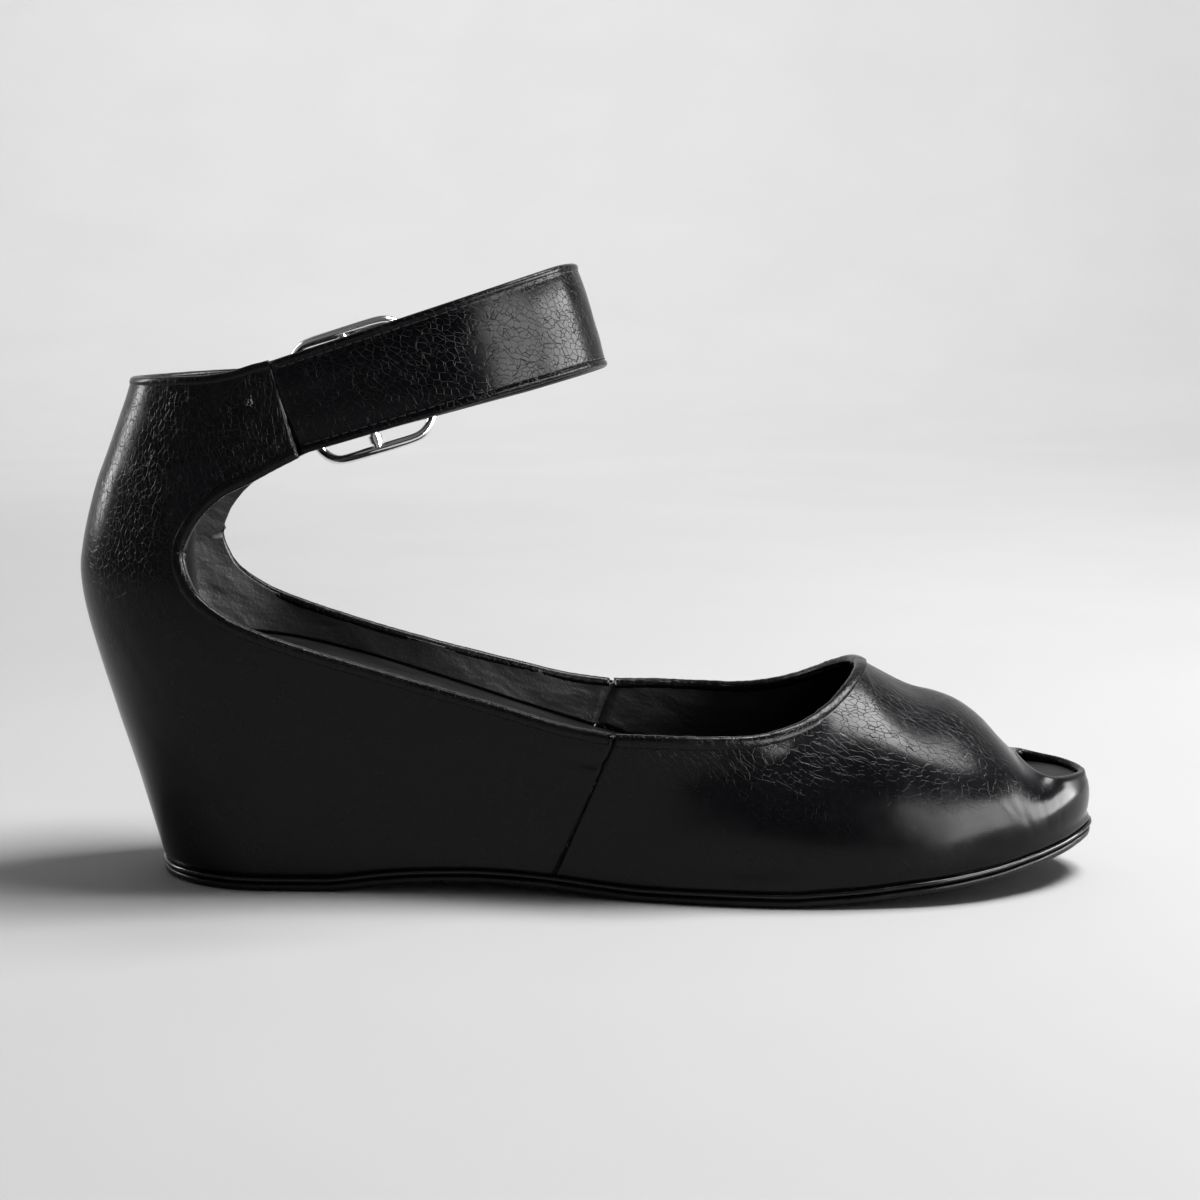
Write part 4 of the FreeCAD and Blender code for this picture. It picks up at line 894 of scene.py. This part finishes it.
def outline(height, step=1.2):
    """The covers' outline at height(x), an even loop from the heel by the medial side, and directions out."""
    points = []
    for p, _ in COLUMNS:
        gap = p[:, 2] - height(p[:, 0])
        k = int(np.argmax(gap >= 0))
        if k == 0:
            points.append(p[0])
            continue
        t = gap[k - 1] / (gap[k - 1] - gap[k])
        points.append(p[k - 1] + (p[k] - p[k - 1]) * t)
    loop = np.array(points)
    loop[0, 1] = loop[-1, 1] = 0
    loop[-1] = loop[0]
    path = even(loop, step)[:-1]
    along = np.roll(path, -1, 0) - np.roll(path, 1, 0)
    out = unit(np.cross(along, np.array([0, 0, 1.0])))
    if (out[:, 0] * (path[:, 0] - 75)).sum() < 0:
        out = -out
    wide = np.pad(out, ((3, 3), (0, 0)), mode="wrap")
    out = unit(sum(wide[k:k + len(out)] for k in range(7)) * np.array([1, 1, 0]))
    return path, out


def rings(path, out, section, height):
    """Rings round the shoe from (outward, up) pairs above height(x)."""
    grid = []
    for outward, up in section:
        ring = path + out * outward
        ring[:, 2] = height(ring[:, 0]) + up
        grid.append(ring)
    return np.stack(grid, 1)


def fill(ring, height, count=16, crown=0.0, first=0.0):
    """A floor inside a ring, as rows that close on the shoe's middle line."""
    spine = ring.copy()
    spine[:, 0] = np.clip(ring[:, 0], -16, 168)
    spine[:, 1] = -0.01 * np.clip(ring[:, 0], 0, 160)
    rows = []
    for k in range(count + 1):
        t = first + (1 - first) * (k / count) ** 1.15
        p = mix(ring, spine, t)
        p[:, 2] = height(p[:, 0]) + crown * float(smooth(t * 1.6))
        rows.append(p)
    return np.stack(rows, 1)


UP = np.array([0, 0, 1.0])


def facing(grid, direction):
    return np.broadcast_to(direction, grid.shape)


def looped(grid):
    """A grid of rings round the shoe, with its first column again at the end."""
    return np.concatenate([grid, grid[:1]])


def make_sole():
    path, out = outline(lambda x: cover_foot(x) + 0.3)
    low = lambda x: np.maximum(sole_z(x), 0.0)
    top = OUTSOLE_THICK
    groove = [(-3.0, top), (-0.8, top), (-0.75, top - 0.3), (-0.45, top - 0.5), (0.0, top - 0.62)]
    section = groove + [(0.12, top - 0.85), (0.12, 0.9), (0.0, 0.45), (-0.5, 0.12), (-1.0, 0.0)]
    side = rings(path, out, section, low)
    nick = np.clip(lumps(path, 5.0, 31.0) - 0.45, 0, 1) * 1.6
    side[:, 2:8] -= out[:, None, :] * nick[:, None, None]
    bottom = fill(side[:, -1], low, 18)
    over = fill(side[:, 0], lambda x: low(x) + top, 8)
    shape = Shape()
    shape.grid(looped(side), looped(facing(side, out[:, None])))
    shape.grid(looped(bottom), facing(looped(bottom), -UP))
    shape.grid(looped(over), facing(looped(over), UP))
    return shape.piece("outsole_rubber", [M_SOLE], weld=0.01)


def make_welt():
    path, out = outline(lambda x: cover_foot(x) + 0.3)
    base = lambda x: np.maximum(sole_z(x), 0.0) + OUTSOLE_THICK
    bead = [(-0.3, 0.02), (0.2, 0.05), (0.44, 0.22), (0.5, 0.5), (0.42, 0.8), (0.2, 1.0), (-0.1, 1.07)]
    section = [(-4.0, 0.02)] + bead + [(-0.6, 1.09), (-4.0, 1.09), (-4.0, 0.02)]
    grid = rings(path, out, section, base)
    wave = 0.05 * lumps(path, 7.0, 41.0) + 0.03 * lumps(path, 1.7, 43.0)
    grid[:, 2:8] += out[:, None, :] * wave[:, None, None]
    shape = Shape()
    shape.grid(looped(grid), looped(facing(grid, out[:, None])))
    return shape.piece("welt_bead", [M_WELT], weld=0.01)


def make_sock():
    level_top = lambda x: footbed(x) - 0.1
    path, out = outline(level_top)
    ring = path - out * (COVER + 2 * GAP + 0.1)
    grid = fill(ring, level_top, 26, 0.35)
    grid = relief(grid, facing(grid, UP), 23.0, 0.12, 0.07)
    first = grid[:, :1].copy()
    first[..., 2] -= 0.8
    grid = looped(np.concatenate([first, grid], 1))
    shape = Shape()
    shape.grid(grid, facing(grid, UP))
    return shape.piece("sock_leather_cover", [M_SOCK], weld=0.02)


# ------------------------------------------------------------------ ankle strap
def strap_frames(steps=8):
    """Middle points, outward directions, half widths and the run along the strap."""
    line = []
    for x, y in refine(STRAP_LINE, steps):
        drop = STRAP_LATERAL_DROP * min(max((y + 12) / 36, 0.0), 1.0)
        line.append((x, y, STRAP_START_Z + (x - STRAP_LINE[0][0]) * math.tan(STRAP_SLOPE) - drop))
    line = np.array(line)
    out = settle(unit(np.cross(np.gradient(line, axis=0), ACROSS)), 2)
    run = np.concatenate([[0], np.cumsum(np.linalg.norm(np.diff(line, axis=0), axis=1))])
    half = np.array([through(STRAP_WIDTH, r / run[-1]) for r in run]) / 2
    left = run[-1] - run
    tip = left < STRAP_TIP
    half[tip] *= 0.45 + 0.55 * np.sqrt(np.clip(1 - (1 - left[tip] / STRAP_TIP) ** 2, 0, 1))
    return line, out, half, run


def strap_layer(name, top, bottom, finish, inset, stitched, seed):
    """One layer of the strap: a closed band with rounded edges, pressed in along its stitches.

    stitched is the face with the stitches: 1 is the outer one, -1 the inner one and 0 neither.
    """
    line, out, half, _ = strap_frames()
    half = half - inset
    across = np.concatenate([np.linspace(-1, -0.86, 6), np.linspace(-0.8, 0.8, 17), np.linspace(0.86, 1, 6)])
    rows = []
    for sign, level_at in ((1, top), (-1, bottom)):
        for s in across[::sign]:
            edge = np.clip((1 - abs(s)) * half / 0.55, 0, 1)
            round_off = (np.sqrt(1 - (1 - edge) ** 2))[:, None]
            middle = (top + bottom) / 2
            lift = middle + (level_at - middle) * round_off
            if sign == stitched:
                from_edge = (1 - abs(s)) * half
                edge_bead = 0.16 * np.exp(-((from_edge - 0.9) / 0.5) ** 2)
                groove = 0.26 * np.exp(-((from_edge - 2.0) / 0.4) ** 2)
                lift = lift + (edge_bead - groove + 0.22 * smooth((from_edge - 2.4) / 5))[:, None] * sign
            rows.append(line + ACROSS * (s * half)[:, None] + out * lift)
    rows.append(rows[0])
    grid = np.stack(rows, 1)
    n = grid - grid.mean(axis=1, keepdims=True)
    flat = grid.reshape(-1, 3)
    shift = 0.16 * lumps(flat, 19.0, seed) + 0.07 * lumps(flat, 5.0, seed + 3)
    grid = grid + out[:, None, :] * shift.reshape(grid.shape[:2])[..., None]
    shape = Shape()
    shape.grid(grid, n)
    shape.ends(grid)
    return shape.piece(name, [finish], weld=0.01)


def punch(pieces, centres, radius):
    """Cut round holes through pieces."""
    bm = bmesh.new()
    size = {"segments": 28, "radius1": radius * MM, "radius2": radius * MM, "depth": 0.02}
    for c in centres:
        made = bmesh.ops.create_cone(bm, cap_ends=True, **size)
        turn = Vector((0, 0, 1)).rotation_difference(Vector(OUT)).to_matrix().to_4x4()
        turn.translation = Vector(c * MM)
        bmesh.ops.transform(bm, matrix=turn, verts=made["verts"])
    data = bpy.data.meshes.new("cutter")
    bm.to_mesh(data)
    bm.free()
    cutter = bpy.data.objects.new("cutter", data)
    bpy.context.scene.collection.objects.link(cutter)
    for obj in pieces:
        mod = obj.modifiers.new("holes", "BOOLEAN")
        mod.operation, mod.object, mod.solver = "DIFFERENCE", cutter, "EXACT"
        ready = obj.evaluated_get(bpy.context.evaluated_depsgraph_get())
        cut = bpy.data.meshes.new_from_object(ready)
        obj.modifiers.remove(mod)
        old, obj.data = obj.data, cut
        bpy.data.meshes.remove(old)
    bpy.data.objects.remove(cutter)
    bpy.data.meshes.remove(data)


def hole_centres():
    return [BUCKLE_CENTRE + ALONG * (HOLE_OFFSET + k * HOLE_PITCH) + OUT * 4 for k in range(-2, 3)]


def make_strap():
    outer = strap_layer("strap_leather", 1.1, 0.1, M_STRAP, 0.0, 1, 51.0)
    inner = strap_layer("strap_lining_leather", -0.3, -1.1, M_LINING, 0.25, -1, 53.0)
    punch([outer, inner], hole_centres(), HOLE_RADIUS)
    line, out, half, run = strap_frames()
    sewn = Shape()
    keep = (run > 1.2) & (run < run[-1] - 4)
    for sign in (-1, 1):
        for top in (0.98, -1.0):
            path = line + ACROSS * (sign * (half - 2.0))[:, None] + out * top
            stitches(sewn, path[keep], out[keep] * (1 if top > 0 else -1))
    return outer, inner, sewn.piece("strap_stitches", [M_THREAD])


# ------------------------------------------------------------------ chape, keeper, seam details
def at_buckle(along, out, across):
    return BUCKLE_CENTRE + ALONG * along + OUT * out + ACROSS * across


def extrude_band(shape, outline_points, starts):
    """A closed (along, out) outline carried across the strap with rounded ends."""
    pts = np.array(outline_points)
    a, b = starts
    levels = [(a, 0.25), (a + 0.06, 0.1), (a + 0.2, 0.0)]
    levels += [(mix(a, b, t), 0.0) for t in np.linspace(0.06, 0.94, 9)]
    levels += [(b - 0.2, 0.0), (b - 0.06, 0.1), (b, 0.25)]
    nxt, prv = np.roll(pts, -1, 0), np.roll(pts, 1, 0)
    tangent = unit(nxt - prv)
    inward = np.stack([-tangent[:, 1], tangent[:, 0]], -1)
    area = 0.5 * np.sum(pts[:, 0] * nxt[:, 1] - nxt[:, 0] * pts[:, 1])
    if area < 0:
        inward = -inward
    grid = []
    for w, inset in levels:
        ring = pts + inward * (inset * 0.6)
        grid.append([at_buckle(p[0], p[1], w) for p in ring] + [at_buckle(ring[0][0], ring[0][1], w)])
    grid = np.array(grid)
    shape.grid(grid)
    shape.ends(grid)


def make_chape():
    """The folded tab that holds the buckle's bar: a back part and two ears beside the prong."""
    r, thick, back, neck, half_width, half_slot = 1.3, 0.9, -11.6, -4.2, 10, 2.3
    upper, lower = 0.7 + 0.08, 0.7 - 0.08

    def arc(radius, first, last):
        turns = [math.radians(mix(first, last, k / 14)) for k in range(15)]
        return [(radius * math.cos(a), radius * math.sin(a)) for a in turns]

    ears = [(neck, upper + thick)] + arc(r + thick, 120, -120) + [(neck, lower - thick), (neck, lower)]
    ears += arc(r, -128, 128) + [(neck, upper)]
    shape = Shape()
    extrude_band(shape, ears, (-half_width, -half_slot))
    extrude_band(shape, ears, (half_slot, half_width))
    for top, low in ((upper + thick, upper), (lower, lower - thick)):
        tail = [(back + 0.2, low), (back, low + 0.15), (back, top - 0.15), (back + 0.2, top)]
        extrude_band(shape, tail[2:] + [(neck, top), (neck, low)] + tail[:2], (-half_width, half_width))
    chape = shape.piece("chape_leather", [M_STRAP], weld=0.0)
    sewn = Shape()
    corners = [(-5.2, -8.4), (-10.4, -8.4), (-10.4, 8.4), (-5.2, 8.4)]
    path = even(np.array([at_buckle(a, upper + thick + 0.05, w) for a, w in corners]), 0.5)
    stitches(sewn, path, facing(path, OUT), 2.2, 1.7)
    return chape, sewn.piece("chape_stitches", [M_THREAD])


def make_keeper():
    """A low bridge of leather over the free end, with its two feet sewn down above and below it."""
    reach, top, thick = KEEPER_REACH + KEEPER_THICK / 2, KEEPER_TOP + KEEPER_THICK / 2, KEEPER_THICK
    lower, upper = KEEPER_FEET
    turn = math.radians(KEEPER_TURN)
    along = ALONG * math.cos(turn) + OUT * math.sin(turn)
    out = OUT * math.cos(turn) - ALONG * math.sin(turn)
    outline = [(-reach, lower), (-reach, top - 1.0), (-reach + 0.25, top - 0.3), (-reach + 1.0, top)]
    outline.append((0, top + 0.05))
    outline += [(reach - 1.0, top), (reach - 0.25, top - 0.3), (reach, top - 1.0), (reach, upper)]
    outline = even(np.array([(w, n, 0) for w, n in refine(outline, 5)]), 0.8)
    tangent = unit(np.gradient(outline, axis=0))
    lift = np.stack([-tangent[:, 1], tangent[:, 0]], -1)
    section = rounded(KEEPER_WIDTH, thick, 4, -thick / 2)
    start = KEEPER_MIDDLE - along * (KEEPER_WIDTH / 2)
    grid = []
    for (w, n, _), (up, off) in zip(outline, lift):
        grid.append([start + along * a + out * (n + t * off) + ACROSS * (w + t * up) for a, t in section])
    grid = np.array(grid)
    shape = Shape()
    shape.grid(grid, grid - grid.mean(axis=1, keepdims=True))
    shape.ends(grid)
    return shape.piece("keeper_leather", [M_STRAP], weld=0.002)


def make_tab_seams():
    """A pale strip painted along the fold where the medial tab meets the strap, a painted highlight where the
    fold's edge catches the light, and the lateral tab's stitches.
    """
    wear_and_sheen, sewn = Shape(), Shape()
    for side in (MEDIAL, LATERAL):
        a, b = np.array(OPENING_TOP[-1]), np.array(HEEL_TOP[-1])
        t = np.linspace(0.07, 0.93, 40)
        xz = a + (b - a) * t[:, None]
        path, n = wall(xz[:, 0], xz[:, 1], side)
        if side == MEDIAL:
            # painted highlight: a thin pale strip, broken in places, along the fold where its edge catches the
            # light
            broken = np.clip(0.55 + 1.8 * lumps(path, 1.7, 63.0), 0.1, 1.0)
            thin = (0.04 + 0.16 * np.sin(np.pi * np.linspace(0.02, 0.98, 40)) ** 0.6) * broken
            along = unit(np.gradient(path, axis=0))
            across = unit(np.cross(along, n))
            wob = 0.05 * lumps(path, 2.0, 61.0)[:, None]
            rows = [path + across * (thin[:, None] * s + wob) + n * (0.14 - 0.1 * abs(s))
                    for s in (-1, -0.5, 0, 0.5, 1)]
            wear_and_sheen.grid(np.stack(rows, 1), np.repeat(n[:, None], 5, 1))
        else:
            stitches(sewn, path + np.array([-1.9, 0, 0]) + n * 0.05, n)
    return wear_and_sheen.piece("tab_seam_rubbed", [M_SEAM_HIGHLIGHT]), sewn.piece("tab_stitches", [M_THREAD])


# ------------------------------------------------------------------ put it together
def place(piece, body, slot, *nodes):
    if body == "strap":
        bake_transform(piece)
    else:
        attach(piece, body)
    if nodes:
        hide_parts(*nodes)
    return piece


def build():
    for side, word in ((MEDIAL, "medial"), (LATERAL, "lateral")):
        cover, rolls = make_quarter_cover(side, "cover_quarter_" + word)
        place(cover, "shoe", "cover_leather", "quarter_" + word)
        place(rolls, "shoe", "cover_leather")
        lining = make_quarter_lining(side, "lining_quarter_" + word)
        place(lining, "shoe", "lining_leather", "quarter_lining_" + word)
    cover, rolls = make_vamp_cover()
    place(cover, "shoe", "cover_leather", "vamp")
    place(rolls, "shoe", "cover_leather")
    place(make_vamp_lining(), "shoe", "lining_leather", "vamp_lining")
    grip, grip_sewn = make_heel_grip()
    place(grip, "shoe", "grip_suede", "heel_grip")
    place(grip_sewn, "shoe", "lining_leather")
    place(make_sole(), "shoe", "sole_rubber", "outsole")
    place(make_welt(), "shoe", "welt_leather", "welt")
    place(make_sock(), "shoe", "sock_leather", "sock")
    outer, inner, sewn = make_strap()
    place(outer, "strap", "cover_leather", "strap_outer")
    place(inner, "strap", "lining_leather", "strap_lining")
    place(sewn, "strap", "lining_leather")
    webbing = strap_layer("strap_webbing", 0.05, -0.25, CAD_MATERIALS["strap_core"], 1.2, 0, 55.0)
    punch([webbing], hole_centres(), HOLE_RADIUS + 0.1)
    place(webbing, "strap", "felt", "strap_core")
    chape, chape_sewn = make_chape()
    place(chape, "shoe", "cover_leather", "chape")
    place(chape_sewn, "shoe", "lining_leather")
    place(make_keeper(), "shoe", "cover_leather", "keeper_loop")
    for piece in make_tab_seams():
        place(piece, "shoe", "cover_leather")


# ------------------------------------------------------------------ floor, light, camera
def make_stage():
    """A round pale floor that turns up into a backdrop far from the shoe."""
    flat, bend, top = 1.6, 1.3, 2.4
    profile = [(0.0, 0.0), (0.4, 0.0), (1.0, 0.0), (flat, 0.0)]
    for a in range(6, 91, 6):
        profile.append((flat + bend * math.sin(math.radians(a)), bend - bend * math.cos(math.radians(a))))
    profile.append((flat + bend, top))
    count = 96
    verts = [(r * math.cos(2 * math.pi * k / count), r * math.sin(2 * math.pi * k / count), z)
             for r, z in profile for k in range(count)]
    faces = []
    for j in range(len(profile) - 1):
        for k in range(count):
            here, beside = j * count + k, j * count + (k + 1) % count
            faces.append((here, beside, beside + count, here + count))
    t = Net("studio_floor")
    shade = t.noise(t.coord, 6, 3)
    colour = t.ramp(shade, [(0.3, (0.50, 0.495, 0.495)), (0.7, (0.52, 0.515, 0.515))])
    floor_mat = t.finish(Base_Color=colour, Roughness=0.85, Specular_IOR_Level=0.15)
    floor = mesh("studio_floor", np.array(verts) / MM, faces, [floor_mat], weld=0.001)


def area_light(name, place_at, look_at, width, height, power, glossy=True, diffuse=True):
    """A soft panel; glossy: it shows in reflections, diffuse: it lights matt surfaces."""
    data = bpy.data.lights.new(name, "AREA")
    data.shape, data.size, data.size_y = "RECTANGLE", width, height
    data.energy = power
    lamp = bpy.data.objects.new(name, data)
    lamp.location = place_at
    lamp.rotation_mode = "QUATERNION"
    lamp.rotation_quaternion = (Vector(look_at) - Vector(place_at)).to_track_quat("-Z", "Y")
    lamp.visible_camera = False
    lamp.visible_glossy, lamp.visible_diffuse = glossy, diffuse
    bpy.context.scene.collection.objects.link(lamp)


def make_lights():
    area_light("key_above", (0.58, 0.14, 1.16), (0.13, 0, 0.04), 0.58, 0.54, 25)
    area_light("panel_right", (1.35, 0.06, 0.34), (0.05, 0, 0.12), 0.9, 0.6, 36, diffuse=False)
    area_light("panel_front", (1.05, -0.74, 0.34), (0.05, 0, 0.12), 0.7, 0.6, 18, diffuse=False)
    area_light("panel_left", (-1.0, 0.5, 0.42), (-0.03, 0, 0.1), 0.22, 0.5, 4, diffuse=False)
    area_light("soft_top", (0.1, 0.95, 1.5), (0.08, 0.65, 0.0), 1.3, 0.8, 1, glossy=False)
    area_light("backdrop", (0.0, 1.1, 1.7), (0.0, 2.9, 0.9), 1.6, 0.5, 52, glossy=False)
    world = bpy.data.worlds.new("studio")
    world.use_nodes = True
    world.node_tree.nodes["Background"].inputs["Color"].default_value = (0.93, 0.94, 1.0, 1)
    world.node_tree.nodes["Background"].inputs["Strength"].default_value = 0.15
    bpy.context.scene.world = world
    bpy.context.scene.view_settings.view_transform = "Standard"


def make_camera():
    data = bpy.data.cameras.new("camera")
    data.lens, data.sensor_width = 69.4, 36
    data.clip_start, data.clip_end = 0.05, 20
    cam = bpy.data.objects.new("camera", data)
    cam.location = (0.0774, -0.560, 0.140)
    cam.rotation_euler = (math.radians(90 - 7.54), 0, 0)
    bpy.context.scene.collection.objects.link(cam)
    bpy.context.scene.camera = cam


build()
make_stage()
make_lights()
make_camera()
